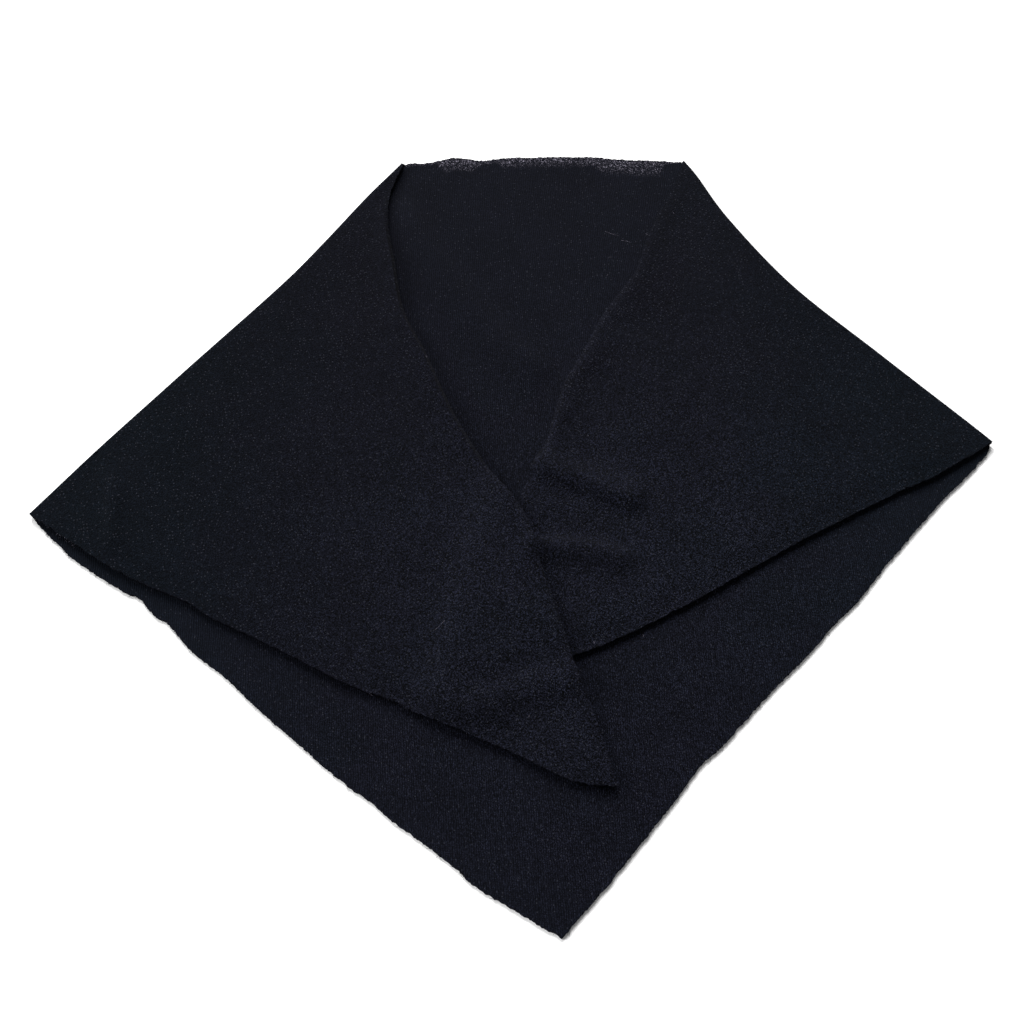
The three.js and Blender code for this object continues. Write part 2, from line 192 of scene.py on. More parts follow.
class EdgeCurve:
    """Smooth curve through a start, the rows of a bow table and an end, read by its own length."""

    def __init__(self, start: Array, end: Array, bow: Sequence[Bow], side: int) -> None:
        """Lays the curve.

        Args:
            start: first corner.
            end: last corner.
            bow: the bow table.
            side: 1 where outside lies to the left of the way, -1 where it lies to the right.
        """
        line = end - start
        outward = np.array([-line[1], line[0]]) * side
        knots = [start, *[start + line * row.along + outward * row.out for row in bow], end]
        self.dense = self._through(np.array(knots))
        steps = np.linalg.norm(np.diff(self.dense, axis=0), axis=1)
        self.reach = np.concatenate([[0.0], np.cumsum(steps)])

    @staticmethod
    def _through(knots: Array) -> Array:
        """Dense points of the smooth curve through the knots.

        Args:
            knots: points that the curve goes through.

        Returns:
            The curve's points, close together.
        """
        part = np.linspace(0.0, 1.0, SPAN_POINTS)[:, None]
        last = len(knots) - 1
        spans = []
        for i in range(last):
            before, start, end, after = (knots[min(max(k, 0), last)] for k in range(i - 1, i + 3))
            leave, arrive = (end - before) / 2, (after - start) / 2
            span = (2 * start - 2 * end + leave + arrive) * part**3
            span = span + (3 * end - 3 * start - 2 * leave - arrive) * part**2 + leave * part + start
            spans.append(span if i == last - 1 else span[:-1])
        return np.concatenate(spans)

    @property
    def length(self) -> float:
        """Length of the curve in metres."""
        return float(self.reach[-1])

    def at(self, share: Array) -> Array:
        """Points at shares of the curve's length."""
        distance = np.asarray(share, float) * self.length
        return np.stack([np.interp(distance, self.reach, self.dense[:, k]) for k in (0, 1)], axis=-1)

    def tangent_at(self, share: Array) -> Array:
        """Unit directions of the way at shares of the curve's length.

        Args:
            share: where to read them, from 0 to 1.

        Returns:
            One direction for each share.
        """
        share = np.asarray(share, float)
        step = self.at(np.minimum(share + TANGENT_STEP, 1.0)) - self.at(np.maximum(share - TANGENT_STEP, 0.0))
        return step / np.linalg.norm(step, axis=-1, keepdims=True)


class Near(NamedTuple):
    """Nearest place on a chain of points: how far, at which share of the way, and on which side,
    from 1 to the left of the way to -1 to the right of it."""

    distance: Array
    along: Array
    side: Array


def nearest_on(samples: Array, points: Array) -> Near:
    """Nearest place on a chain of samples, for many points at once.

    Args:
        samples: points along the chain.
        points: places to measure from.

    Returns:
        The distances, shares and sides.
    """
    starts = samples[:-1]
    steps = samples[1:] - starts
    squares = (steps**2).sum(axis=1)
    found = []
    for chunk in np.array_split(points, max(1, len(points) // POINTS_AT_ONCE)):
        offset = chunk[:, None, :] - starts[None]
        part = np.clip((offset * steps).sum(axis=2) / squares, 0.0, 1.0)
        rest = offset - part[..., None] * steps
        far = (rest**2).sum(axis=2)
        best = far.argmin(axis=1)
        rows = np.arange(len(chunk))
        distance = np.sqrt(far[rows, best])
        turn = steps[best, 0] * offset[rows, best, 1] - steps[best, 1] * offset[rows, best, 0]
        side = turn / np.maximum(distance * np.sqrt(squares[best]), TINY)
        found.append((distance, (best + part[rows, best]) / len(steps), np.clip(side, -1.0, 1.0)))
    return Near(*(np.concatenate(column) for column in zip(*found)))


@dataclass(frozen=True)
class SideShape:
    """Sizes and tables of one side of the folded cloth. Lengths are in mm, angles from +X.

    A wing rises towards its neck edge, and rounds down to it over the last `neck_round` mm.
    """

    side: int
    shoulder: tuple
    fold_length: float
    fold_angle: float
    fold_bow: Sequence[Bow]
    fold_fullness: Sequence[Share]
    neck_length: float
    neck_angle: float
    neck_bow: Sequence[Bow]
    neck_rise: Sequence[Share]
    neck_round: float
    hem_bow: Sequence[Bow]
    hem_lift: Sequence[Share]
    panel_hem_bow: Sequence[Bow]
    wrinkles: Sequence[Wrinkle]
    threads: Sequence[Thread]
    ripple_seed: float


LEFT_SHAPE = SideShape(
    side=-1,
    shoulder=(-88.0, 0.15),
    fold_length=315.6,
    fold_angle=-126.95,
    fold_bow=(Bow(0.12, -0.004), Bow(0.345, -0.0155), Bow(0.6, -0.008), Bow(0.82, -0.001)),
    fold_fullness=(Share(0.0, 0.55), Share(0.1, 1.0), Share(0.4, 1.0), Share(1.0, 0.45)),
    neck_length=422.1,
    neck_angle=-73.49,
    neck_bow=(
        Bow(0.039, -0.0254), Bow(0.072, -0.0407), Bow(0.113, -0.0509), Bow(0.177, -0.0585),
        Bow(0.265, -0.0672), Bow(0.345, -0.0564), Bow(0.41, -0.0507), Bow(0.469, -0.0429),
        Bow(0.552, -0.0245), Bow(0.6, -0.0085), Bow(0.642, 0.0002), Bow(0.702, -0.0027),
        Bow(0.85, -0.0025), Bow(0.9, 0.0),
    ),
    neck_rise=(
        Share(0.0, 0.0), Share(0.1, 0.8), Share(0.2, 1.3), Share(0.38, 1.6), Share(0.5, 1.4),
        Share(0.62, 0.9), Share(0.85, 0.6), Share(1.0, 0.3),
    ),
    neck_round=0.6,
    hem_bow=(
        Bow(0.172, 0.024), Bow(0.26, 0.023), Bow(0.306, 0.0216), Bow(0.345, 0.0277),
        Bow(0.46, 0.0284), Bow(0.565, 0.0322), Bow(0.6, 0.0312), Bow(0.645, 0.0256),
        Bow(0.69, 0.0274), Bow(0.735, 0.0244), Bow(0.84, 0.02), Bow(0.9, 0.0217),
        Bow(0.945, 0.02), Bow(0.976, 0.0101),
    ),
    hem_lift=(
        Share(0.0, 0.0), Share(0.16, 0.8), Share(0.35, 0.5), Share(0.55, 0.6), Share(0.78, 0.5),
        Share(0.94, 1.0), Share(1.0, 1.2),
    ),
    panel_hem_bow=(
        Bow(0.03, 0.005), Bow(0.11, 0.0106), Bow(0.2, 0.0022), Bow(0.222, -0.0042),
        Bow(0.26, 0.0028), Bow(0.282, -0.0012), Bow(0.34, 0.0088), Bow(0.42, 0.0085),
        Bow(0.48, 0.014), Bow(0.64, 0.0196), Bow(0.68, 0.0168), Bow(0.73, 0.0186),
        Bow(0.79, 0.0158), Bow(0.84, 0.0155), Bow(0.88, 0.0166),
    ),
    wrinkles=(
        Wrinkle(((-0.513, 0.462), (-0.492, 0.508), (-0.487, 0.55), (-0.484, 0.589)), 5.0, 4.0, 1.8),
        Wrinkle(((-0.26, 0.288), (-0.17, 0.268)), 3.0, 3.0, 0.35),
        Wrinkle(((-0.247, 0.313), (-0.157, 0.298)), 3.0, 3.0, 0.35),
        Wrinkle(((-0.233, 0.338), (-0.15, 0.328)), 3.0, 3.0, 0.3),
        Wrinkle(((-0.386, 0.306), (-0.391, 0.364), (-0.397, 0.421)), 8.0, 8.0, 0.5),
        Wrinkle(((-0.251, 0.441), (-0.112, 0.436), (0.015, 0.434)), 3.5, 3.5, 0.3),
        Wrinkle(((-0.086, 0.606), (-0.053, 0.643), (0.011, 0.69)), 8.0, 8.0, 0.5),
        Wrinkle(((-0.063, 0.753), (0.01, 0.736)), 5.0, 5.0, 0.4),
    ),
    threads=(
        Thread(-0.167, 0.504, 30, 60, 1.2), Thread(-0.142, 0.323, 80, 50, 1.1),
        Thread(-0.137, 0.34, 10, 70, 1.0), Thread(-0.023, 0.777, 50, 30, 1.2),
        Thread(-0.031, 0.79, 120, 50, 1.0), Thread(0.047, 0.696, 80, 20, 1.3),
        Thread(-0.123, 0.678, 38, 6, 7.0),
    ),
    ripple_seed=3.1,
)
RIGHT_SHAPE = SideShape(
    side=1,
    shoulder=(88.15, 1.65),
    fold_length=260.9,
    fold_angle=-52.8,
    fold_bow=(
        Bow(0.06, -0.008), Bow(0.207, -0.037), Bow(0.44, -0.053), Bow(0.7, -0.029), Bow(0.93, -0.006),
    ),
    fold_fullness=(Share(0.0, 0.9), Share(0.4, 1.0), Share(1.0, 0.45)),
    neck_length=378.4,
    neck_angle=-110.22,
    neck_bow=(
        Bow(0.05, -0.0015), Bow(0.158, 0.006), Bow(0.223, 0.0026), Bow(0.26, 0.0045),
        Bow(0.343, 0.0228), Bow(0.42, 0.0288), Bow(0.485, 0.0368), Bow(0.535, 0.0335),
        Bow(0.59, 0.0272), Bow(0.644, 0.0333), Bow(0.658, 0.025), Bow(0.675, 0.0309),
        Bow(0.72, 0.03), Bow(0.85, 0.017),
    ),
    neck_rise=(
        Share(0.0, 0.0), Share(0.1, 0.3), Share(0.3, 0.7), Share(0.55, 0.9), Share(0.68, 0.6),
        Share(0.8, 0.1), Share(1.0, 0.0),
    ),
    neck_round=3.5,
    hem_bow=(
        Bow(0.03, 0.004), Bow(0.068, 0.0072), Bow(0.13, 0.0126), Bow(0.2, 0.0102),
        Bow(0.3, 0.0122), Bow(0.44, 0.018), Bow(0.55, 0.0266), Bow(0.62, 0.031),
        Bow(0.76, 0.0328), Bow(0.83, 0.026),
    ),
    hem_lift=(
        Share(0.0, 0.0), Share(0.08, 0.5), Share(0.35, 0.2), Share(0.6, 0.2), Share(0.84, 0.2),
        Share(0.88, 0.0), Share(0.92, 0.0), Share(0.95, 0.3), Share(1.0, 0.3),
    ),
    panel_hem_bow=(
        Bow(0.01, 0.0052), Bow(0.04, 0.0062), Bow(0.08, 0.005), Bow(0.13, 0.001),
        Bow(0.28, 0.0015), Bow(0.35, 0.005), Bow(0.4, 0.0013), Bow(0.46, 0.0014),
        Bow(0.55, -0.004), Bow(0.66, -0.0058), Bow(0.7, -0.0108), Bow(0.75, -0.0062),
        Bow(0.9, 0.0002),
    ),
    wrinkles=(
        Wrinkle(((-0.03, 0.471), (-0.01, 0.475), (0.015, 0.484), (0.049, 0.498), (0.093, 0.516),
                 (0.115, 0.527)), 11.0, 5.6, 4.2),
        Wrinkle(((-0.035, 0.574), (-0.016, 0.574), (0.013, 0.574), (0.046, 0.578), (0.081, 0.588),
                 (0.1, 0.596)), 4.0, 9.0, 3.8),
        Wrinkle(((-0.022, 0.515), (0.014, 0.522), (0.058, 0.541)), 9.0, 9.0, 0.8),
        Wrinkle(((0.035, 0.383), (0.018, 0.401), (0.007, 0.423), (0.002, 0.443)), 4.0, 4.0, 1.0),
        Wrinkle(((0.201, 0.069), (0.225, 0.094), (0.242, 0.128)), 6.0, 6.0, -0.8),
        Wrinkle(((0.115, 0.277), (0.088, 0.351)), 20.0, 20.0, 0.8),
        Wrinkle(((0.088, 0.351), (0.181, 0.38)), 20.0, 20.0, 0.6),
        Wrinkle(((0.015, 0.434), (0.236, 0.421), (0.378, 0.407)), 3.5, 3.5, 0.3),
    ),
    threads=(
        Thread(0.129, 0.128, 20, 105, 4.6), Thread(0.166, 0.092, 60, 40, 1.2),
        Thread(0.136, 0.255, 30, 70, 1.3), Thread(0.084, 0.164, 100, 75, 2.6),
        Thread(0.077, 0.193, 0, 40, 1.1), Thread(0.048, 0.43, 80, 50, 1.2),
        Thread(0.078, 0.121, -30, 8, 9.0), Thread(0.098, 0.136, -12, -7, 6.0),
    ),
    ripple_seed=7.7,
)


@dataclass(eq=False)
class FoldedSide:
    """One side of the folded cloth: its fold, its wing's two free edges and the hem below it.

    Its lengths are measured from the middle of the neck edge, and it ends at the apex, the lowest
    corner of the panel.
    """

    shape: SideShape
    neck_middle: Array
    apex: Array
    edge_samples: int = 120
    fold_inner_radius: float = 1.4 * MM
    neck_slant: float = 0.75
    neck_slant_reach: float = 0.15
    hem_lift: float = 1.0 * MM
    hem_drop: float = 1.3 * MM
    hem_reach: float = 14 * MM
    neck_rise: float = 2.4 * MM
    neck_reach: float = 22 * MM

    def __post_init__(self) -> None:
        """Lays the edges of the side."""
        shape = self.shape
        shoulder = self.neck_middle + np.array(shape.shoulder) * MM
        corner = self._corner_from(shoulder, shape.fold_length, shape.fold_angle)
        tip = self._corner_from(shoulder, shape.neck_length, shape.neck_angle)
        self.rim = EdgeCurve(shoulder, corner, shape.fold_bow, shape.side)
        bottom = self.fold_at(np.array([1.0]))[0]
        self.neck_edge = EdgeCurve(self.neck_end(ON_WING), tip, shape.neck_bow, -shape.side)
        self.hem = EdgeCurve(bottom, tip, shape.hem_bow, shape.side)
        self.panel_hem = EdgeCurve(bottom, self.apex, shape.panel_hem_bow, shape.side)
        shares = np.linspace(0.0, 1.0, self.edge_samples + 1)
        self.fold_samples = self.fold_at(shares)
        self.neck_samples = self.neck_edge.at(shares)
        self.hem_samples = self.hem.at(shares)

    @staticmethod
    def _corner_from(start: Array, length: float, angle: float) -> Array:
        """Point at a length in mm and an angle in degrees from another."""
        turn = math.radians(angle)
        return start + np.array([math.cos(turn), math.sin(turn)]) * length * MM

    def radius_at(self, share: Array) -> Array:
        """Radius of the middle of the cloth round the fold."""
        fullness = share_at(self.shape.fold_fullness, share)
        return self.fold_inner_radius * fullness + THICKNESS / 2

    def outward_at(self, share: Array) -> Array:
        """Unit directions out of the cloth, across the fold."""
        along = self.rim.tangent_at(share)
        return np.stack([-along[..., 1], along[..., 0]], axis=-1) * self.shape.side

    def fold_at(self, share: Array) -> Array:
        """The line round which the cloth turns, inside the rim by the fold's outer radius."""
        inset = self.radius_at(share) + THICKNESS / 2
        return self.rim.at(share) - self.outward_at(share) * inset[..., None]

    def layer_at(self, share: Array, turn: Union[float, Array]) -> Array:
        """The fold's line as the cloth reaches it part of the way round.

        The slanting cut of the neck edge slips it down on the wing and up on the panel.

        Args:
            share: shares of the way from the neck edge to the corner.
            turn: how far round the fold, from ON_WING to ON_PANEL.

        Returns:
            One place for each share.
        """
        fade = 1.0 - ease(share / self.neck_slant_reach)
        slip = self.neck_slant * self.radius_at(share) * turn * fade
        return self.fold_at(share) + self.rim.tangent_at(share) * slip[..., None]

    def neck_end(self, turn: float) -> Array:
        """Where the neck edge leaves the fold, on the wing or on the panel."""
        return self.layer_at(np.array([0.0]), turn)[0]

    def bow_at(self, share: Array, turn: float) -> Array:
        """How far the fold's line leaves the straight line between its ends."""
        start, end = self.layer_at(np.array([0.0, 1.0]), turn)
        return self.layer_at(share, turn) - start - (end - start) * share[:, None]

    def turned_over(self, points: Array) -> Array:
        """Where places on the wing lay before it was folded over.

        Args:
            points: places on the wing.

        Returns:
            One place on the flat cut for each.
        """
        start, end = self.fold_at(np.array([0.0, 1.0]))
        along = (end - start) / np.linalg.norm(end - start)
        offset = points - start
        beside = offset - (offset @ along)[:, None] * along
        return points - 2 * beside


@dataclass(eq=False)
class FoldedCloth:
    """Heights of the middle of the cloth in every layer, and the outline all layers share."""

    cover_margin: float = 9 * MM
    cover_ramp: float = 20 * MM
    wrinkle_fade: float = 0.22

    def __post_init__(self) -> None:
        """Lays both sides from the middle of the neck edge and the apex."""
        self.neck_middle = -np.array(OUTLINE_CENTRE)
        apex = self.neck_middle + np.array([APEX_SHIFT, -PANEL_DEPTH])
        self.left = FoldedSide(LEFT_SHAPE, self.neck_middle, apex)
        self.right = FoldedSide(RIGHT_SHAPE, self.neck_middle, apex)
        ends = self.left.neck_end(ON_PANEL), self.right.neck_end(ON_PANEL)
        self.neck_curve = EdgeCurve(*ends, NECK_BOW, 1)

    def places(self, shares: Sequence[tuple]) -> Array:
        """Places given as shares of the panel's depth, across and down from the neck edge."""
        return self.neck_middle + np.array(shares) * (PANEL_DEPTH, -PANEL_DEPTH)

    def wrinkle_height(self, wrinkles: Sequence[Wrinkle], points: Array) -> Array:
        """Height that a table of wrinkles adds.

        Args:
            wrinkles: the wrinkles to add up.
            points: places, seen from above.

        Returns:
            One height for each place.
        """
        height = np.zeros(len(points))
        for row in wrinkles:
            near = nearest_on(self.places(row.way), points)
            width = row.right + (row.left - row.right) * (near.side + 1.0) / 2.0
            off = near.distance / (width * MM)
            fade = ease(near.along / self.wrinkle_fade) * ease((1.0 - near.along) / self.wrinkle_fade)
            height = height + row.height * MM * fade * np.exp(-off * off)
        return height

    def panel_level(self, points: Array) -> Array:
        """Height of the middle of the cloth in the back panel."""
        uneven = ripple_height(PANEL_RIPPLE, points)
        return THICKNESS / 2 + uneven + self.wrinkle_height(PANEL_WRINKLES, points)

    def wing_rise(self, side: FoldedSide, points: Array) -> Array:
        """Height that a wing's own wrinkles, edges and unevenness add.

        Args:
            side: which wing.
            points: places on it.

        Returns:
            One height for each place.
        """
        rise = self.hem_height(side, points) + self.neck_height(side, points)
        rise = rise + sum(ripple_height(row, points, side.shape.ripple_seed) for row in WING_RIPPLES)
        rise = rise + self.wrinkle_height(side.shape.wrinkles, points)
        return rise * ease(nearest_on(side.fold_samples, points).distance / SETTLE_LENGTH)

    @staticmethod
    def hem_height(side: FoldedSide, points: Array) -> Array:
        """Height of the slope down to a wing's hem, and of the hem's own lift.

        Args:
            side: which wing.
            points: places on it.

        Returns:
            One height for each place.
        """
        hem = nearest_on(side.hem_samples, points)
        off = hem.distance / side.hem_reach
        lift = side.hem_lift * share_at(side.shape.hem_lift, hem.along) * np.exp(-off * off)
        return lift + side.hem_drop * ease(off)

    @staticmethod
    def neck_height(side: FoldedSide, points: Array) -> Array:
        """Height by which a wing rises towards its neck edge.

        Args:
            side: which wing.
            points: places on it.

        Returns:
            One height for each place.
        """
        neck = nearest_on(side.neck_samples, points)
        width = side.shape.neck_round * MM
        off = np.clip((neck.distance - width) / side.neck_reach, 0.0, 1.0)
        inside = np.clip(1.0 - neck.distance / width, 0.0, 1.0)
        rise = side.neck_rise * share_at(side.shape.neck_rise, neck.along)
        return rise * (1.0 - off) ** 2 * (1.0 - inside**2)

    def cover_height(self, points: Array) -> Array:
        """Height by which the right wing lifts the left wing that lies over it.

        Args:
            points: places on the left wing.

        Returns:
            One height for each place.
        """
        neck = nearest_on(self.right.neck_samples, points)
        hem = nearest_on(self.right.hem_samples, points)
        inside = np.minimum(
            neck.distance * np.where(neck.side > 0, 1.0, -1.0),
            hem.distance * np.where(hem.side > 0, -1.0, 1.0),
        )
        cover = ease((inside + self.cover_margin) / self.cover_ramp + 1.0)
        return cover * (LAYER_STEP + self.wing_rise(self.right, points))

    def wing_level(self, side: FoldedSide, points: Array, share: Array) -> Array:
        """Height of the middle of the cloth in a wing.

        Args:
            side: which wing.
            points: places on it.
            share: shares of the way from the neck edge to the hem, for the size of the fold.

        Returns:
            One height for each place.
        """
        fold = nearest_on(side.fold_samples, points)
        above = 2 * side.radius_at(share) - LAYER_STEP
        settled = above * (1.0 - ease(fold.distance / SETTLE_LENGTH))
        covered = self.cover_height(points) if side is self.left else 0.0
        return self.panel_level(points) + LAYER_STEP + settled + covered + self.wing_rise(side, points)


class Region(NamedTuple):
    """Shape of one region of the cloth: its places and their heights, where they lay in the flat
    cut, and how far they are from the neck edge as a ratio of the fuzz's depth there."""

    places: Array
    level: Array
    flat: Array
    fuzz: Union[float, Array] = FUZZ_RATIO_CAP


def work_on(obj: bpy.types.Object) -> None:
    """Leaves one object selected and active.

    Args:
        obj: the object.
    """
    if bpy.context.object and bpy.context.object.mode != "OBJECT":
        bpy.ops.object.mode_set(mode="OBJECT")
    bpy.ops.object.select_all(action="DESELECT")
    obj.select_set(True)
    bpy.context.view_layer.objects.active = obj


@contextmanager
def edit_mode(select: str) -> Iterator[None]:
    """Edits the active mesh.

    Args:
        select: SELECT where all of it is selected at first, DESELECT where none is.

    Returns:
        A context in which the mesh is edited.
    """
    bpy.ops.object.mode_set(mode="EDIT")
    bpy.ops.mesh.select_all(action=select)
    yield
    bpy.ops.object.mode_set(mode="OBJECT")


def coordinates(obj: bpy.types.Object) -> Array:
    """All vertices of a mesh object.

    Args:
        obj: a mesh object.

    Returns:
        One row for each vertex.
    """
    co = np.zeros(len(obj.data.vertices) * 3)
    obj.data.vertices.foreach_get("co", co)
    return co.reshape(-1, 3)


class RimWalk(NamedTuple):
    """The cut edge of the cloth, in order: places, and directions outwards and upwards."""

    places: Array
    outward: Array
    upward: Array


@dataclass
class ClothPiece:
    """The folded cloth as one wall, with both of its faces and its cut edge."""

    rows: int = 130
    panel_columns: int = 192
    fold_steps: int = 12
    rim_cuts: int = 3
    rag: float = 0.75 * MM
    rag_waves: tuple = ((0.5, 5.5 * MM), (0.6, 1.6 * MM), (0.5, 0.8 * MM))
    wale_tilt: float = 4.0
    weld: float = 0.02 * MM
    smooth_angle: float = 55.0

    def build(self, shape: FoldedCloth) -> tuple[bpy.types.Object, RimWalk]:
        """Models the cloth.

        Args:
            shape: outline and heights of the folded cloth.

        Returns:
            The finished piece and the walk round its cut edge.
        """
        parts = [
            self._wing(shape, shape.left),
            self._fold(shape, shape.left),
            self._panel(shape),
            self._fold(shape, shape.right),
            self._wing(shape, shape.right),
        ]
        cloth = self._sew(parts)
        self._fray_rim(cloth)
        walk = self._walk_rim(cloth)
        self._thicken(cloth)
        return cloth, walk

    def _fit(self, obj: bpy.types.Object, region: Region) -> None:
        """Moves a primitive's vertices to a region's shape and stores where they lay flat.

        Args:
            obj: the primitive.
            region: the shape of the region.
        """
        mesh = obj.data
        mesh.vertices.foreach_set("co", np.column_stack([region.places, region.level]).ravel())
        layer = mesh.uv_layers.get("flat_cut") or mesh.uv_layers.new(name="flat_cut")
        corner = np.zeros(len(mesh.loops), np.int32)
        mesh.loops.foreach_get("vertex_index", corner)
        turn = math.radians(self.wale_tilt)
        across = np.array([math.cos(turn), math.sin(turn)])
        wale = np.array([-math.sin(turn), math.cos(turn)])
        flat = np.stack([region.flat @ across, region.flat @ wale], axis=1)
        layer.data.foreach_set("uv", flat[corner].ravel())
        fuzz = mesh.attributes.new("fuzz", "FLOAT", "POINT")
        fuzz.data.foreach_set("value", np.full(len(region.level), region.fuzz, np.float32))
        mesh.update()

    def _wing(self, shape: FoldedCloth, side: FoldedSide) -> bpy.types.Object:
        """One wing, from a triangle with its corners at the fold's ends and the tip.

        Args:
            shape: outline and heights of the folded cloth.
            side: the side that the wing belongs to.

        Returns:
            The wing as a sheet.
        """
        bpy.ops.mesh.primitive_circle_add(vertices=3, radius=1.0, fill_type="NGON")
        wing = bpy.context.object
        corners = ((0.0, 0.0, 0.0), (1.0, 0.0, 0.0), (0.0, 1.0, 0.0))
        for vertex, corner in zip(wing.data.vertices, corners):
            vertex.co = corner
        with edit_mode("SELECT"):
            bpy.ops.mesh.subdivide(number_cuts=self.rows - 1)
        steps = np.round(coordinates(wing) * self.rows)
        out = steps[:, 0] / self.rows
        share = steps[:, 1] / np.maximum(self.rows - steps[:, 0], 1)
        start, end = side.neck_edge.at(out), side.hem.at(out)
        bows = side.bow_at(share, ON_WING) * ((1.0 - out) ** 2)[:, None]
        points = start + (end - start) * share[:, None] + bows
        level = shape.wing_level(side, points, share)
        self._fit(wing, Region(points, level, side.turned_over(points)))
        return wing

    def _fold(self, shape: FoldedCloth, side: FoldedSide) -> bpy.types.Object:
        """The cloth round one fold, half a turn from the wing to the panel.

        Args:
            shape: outline and heights of the folded cloth.
            side: the side that the fold belongs to.

        Returns:
            The fold as a sheet.
        """
        fold, across, share = self._grid(self.fold_steps)
        turn = ON_WING + (ON_PANEL - ON_WING) * across
        radius = side.radius_at(share)
        line = side.layer_at(share, turn)
        outward = side.outward_at(share)
        points = line + outward * (radius * np.cos(turn))[:, None]
        level = shape.panel_level(line) + radius * (1.0 + np.sin(turn))
        flat = line + outward * (radius * math.pi * (1.0 - across))[:, None]
        self._fit(fold, Region(points, level, flat))
        return fold

    def _panel(self, shape: FoldedCloth) -> bpy.types.Object:
        """The back panel between the folds, with one line of points down to the apex.

        Args:
            shape: outline and heights of the folded cloth.

        Returns:
            The panel as a sheet.
        """
        left, right = shape.left, shape.right
        whole = left.panel_hem.length + right.panel_hem.length
        apex_share = left.panel_hem.length / whole
        apex_column = round(self.panel_columns * apex_share)
        panel, across, share = self._grid(self.panel_columns)
        column = across * self.panel_columns
        from_left = np.minimum(column / apex_column, 1.0)
        from_right = np.minimum((self.panel_columns - column) / (self.panel_columns - apex_column), 1.0)
        place = apex_share * from_left + (1.0 - apex_share) * (1.0 - from_right)
        start = shape.neck_curve.at(place)
        end = np.where(
            (from_left < 1.0)[:, None], left.panel_hem.at(from_left), right.panel_hem.at(from_right)
        )
        bows = left.bow_at(share, ON_PANEL) * ((1.0 - from_left) ** 2)[:, None]
        bows = bows + right.bow_at(share, ON_PANEL) * ((1.0 - from_right) ** 2)[:, None]
        points = start + (end - start) * share[:, None] + bows
        near = nearest_on(shape.neck_curve.at(np.linspace(0.0, 1.0, NECK_POINTS)), points)
        fuzz = np.minimum(near.distance / share_at(NECK_FUZZ_DEPTH, near.along), FUZZ_RATIO_CAP)
        self._fit(panel, Region(points, shape.panel_level(points), points, fuzz))
        return panel

    def _grid(self, columns: int) -> tuple[bpy.types.Object, Array, Array]:
        """A grid with its shares across the cloth and from the neck edge to the hem.

        Args:
            columns: how many faces it has across.

        Returns:
            The grid, and both shares of each vertex.
        """
        bpy.ops.mesh.primitive_grid_add(x_subdivisions=columns, y_subdivisions=self.rows, size=1.0)
        grid = bpy.context.object
        co = coordinates(grid) + 0.5
        return grid, np.round(co[:, 0] * columns) / columns, np.round(co[:, 1] * self.rows) / self.rows

    def _sew(self, parts: list[bpy.types.Object]) -> bpy.types.Object:
        """Joins the regions into one sheet whose normals point up in the back panel.

        Args:
            parts: the five regions, from left to right.

        Returns:
            The sheet.
        """
        cloth = parts[2]
        work_on(cloth)
        for part in parts:
            part.select_set(True)
        bpy.ops.object.join()
        cloth.name = "folded_cloth"
        with edit_mode("SELECT"):
            bpy.ops.mesh.remove_doubles(threshold=self.weld)
            bpy.ops.mesh.normals_make_consistent(inside=False)
        lowest = min(cloth.data.polygons, key=lambda face: face.center.y)
        if lowest.normal.z < 0:
            with edit_mode("SELECT"):
                bpy.ops.mesh.flip_normals()
        return cloth

    def _fray_rim(self, cloth: bpy.types.Object) -> None:
        """Cuts the rim finely and pulls it in and out, as a raw cut edge of knit is.

        Args:
            cloth: the sheet.
        """
        work_on(cloth)
        with edit_mode("DESELECT"):
            bpy.ops.mesh.select_mode(type="EDGE")
            bpy.ops.mesh.select_non_manifold(extend=False)
            bpy.ops.mesh.subdivide(number_cuts=self.rim_cuts)
        work = bmesh.new()
        work.from_mesh(cloth.data)
        moves = {}
        for edge in work.edges:
            if edge.is_boundary:
                outward = self._outward(edge)
                for vertex in edge.verts:
                    moves[vertex] = moves.get(vertex, Vector()) + outward
        for vertex, outward in moves.items():
            pull = sum(share * noise.noise(vertex.co / size) for share, size in self.rag_waves)
            vertex.co = vertex.co + outward.normalized() * pull * self.rag
        work.to_mesh(cloth.data)
        work.free()

    @staticmethod
    def _outward(edge: bmesh.types.BMEdge) -> Vector:
        """Direction out of the cloth across one edge of its rim.

        Args:
            edge: an edge of the rim.

        Returns:
            The direction, one unit long.
        """
        face = edge.link_faces[0]
        middle = (edge.verts[0].co + edge.verts[1].co) / 2
        across = (edge.verts[1].co - edge.verts[0].co).cross(face.normal).normalized()
        inward = face.calc_center_median() - middle
        return -across if across.dot(inward) > 0 else across

    def _walk_rim(self, cloth: bpy.types.Object) -> RimWalk:
        """Goes once round the rim.

        Args:
            cloth: the sheet.

        Returns:
            The walk, edge by edge.
        """
        work = bmesh.new()
        work.from_mesh(cloth.data)
        work.normal_update()
        start = next(edge for edge in work.edges if edge.is_boundary)
        vertex, edge = start.verts[1], start
        rows = []
        while True:
            middle = (edge.verts[0].co + edge.verts[1].co) / 2
            rows.append((middle.copy(), self._outward(edge), edge.link_faces[0].normal.copy()))
            edge = next(other for other in vertex.link_edges if other.is_boundary and other != edge)
            vertex = edge.other_vert(vertex)
            if edge == start:
                break
        work.free()
        return RimWalk(*(np.array(column) for column in zip(*rows)))

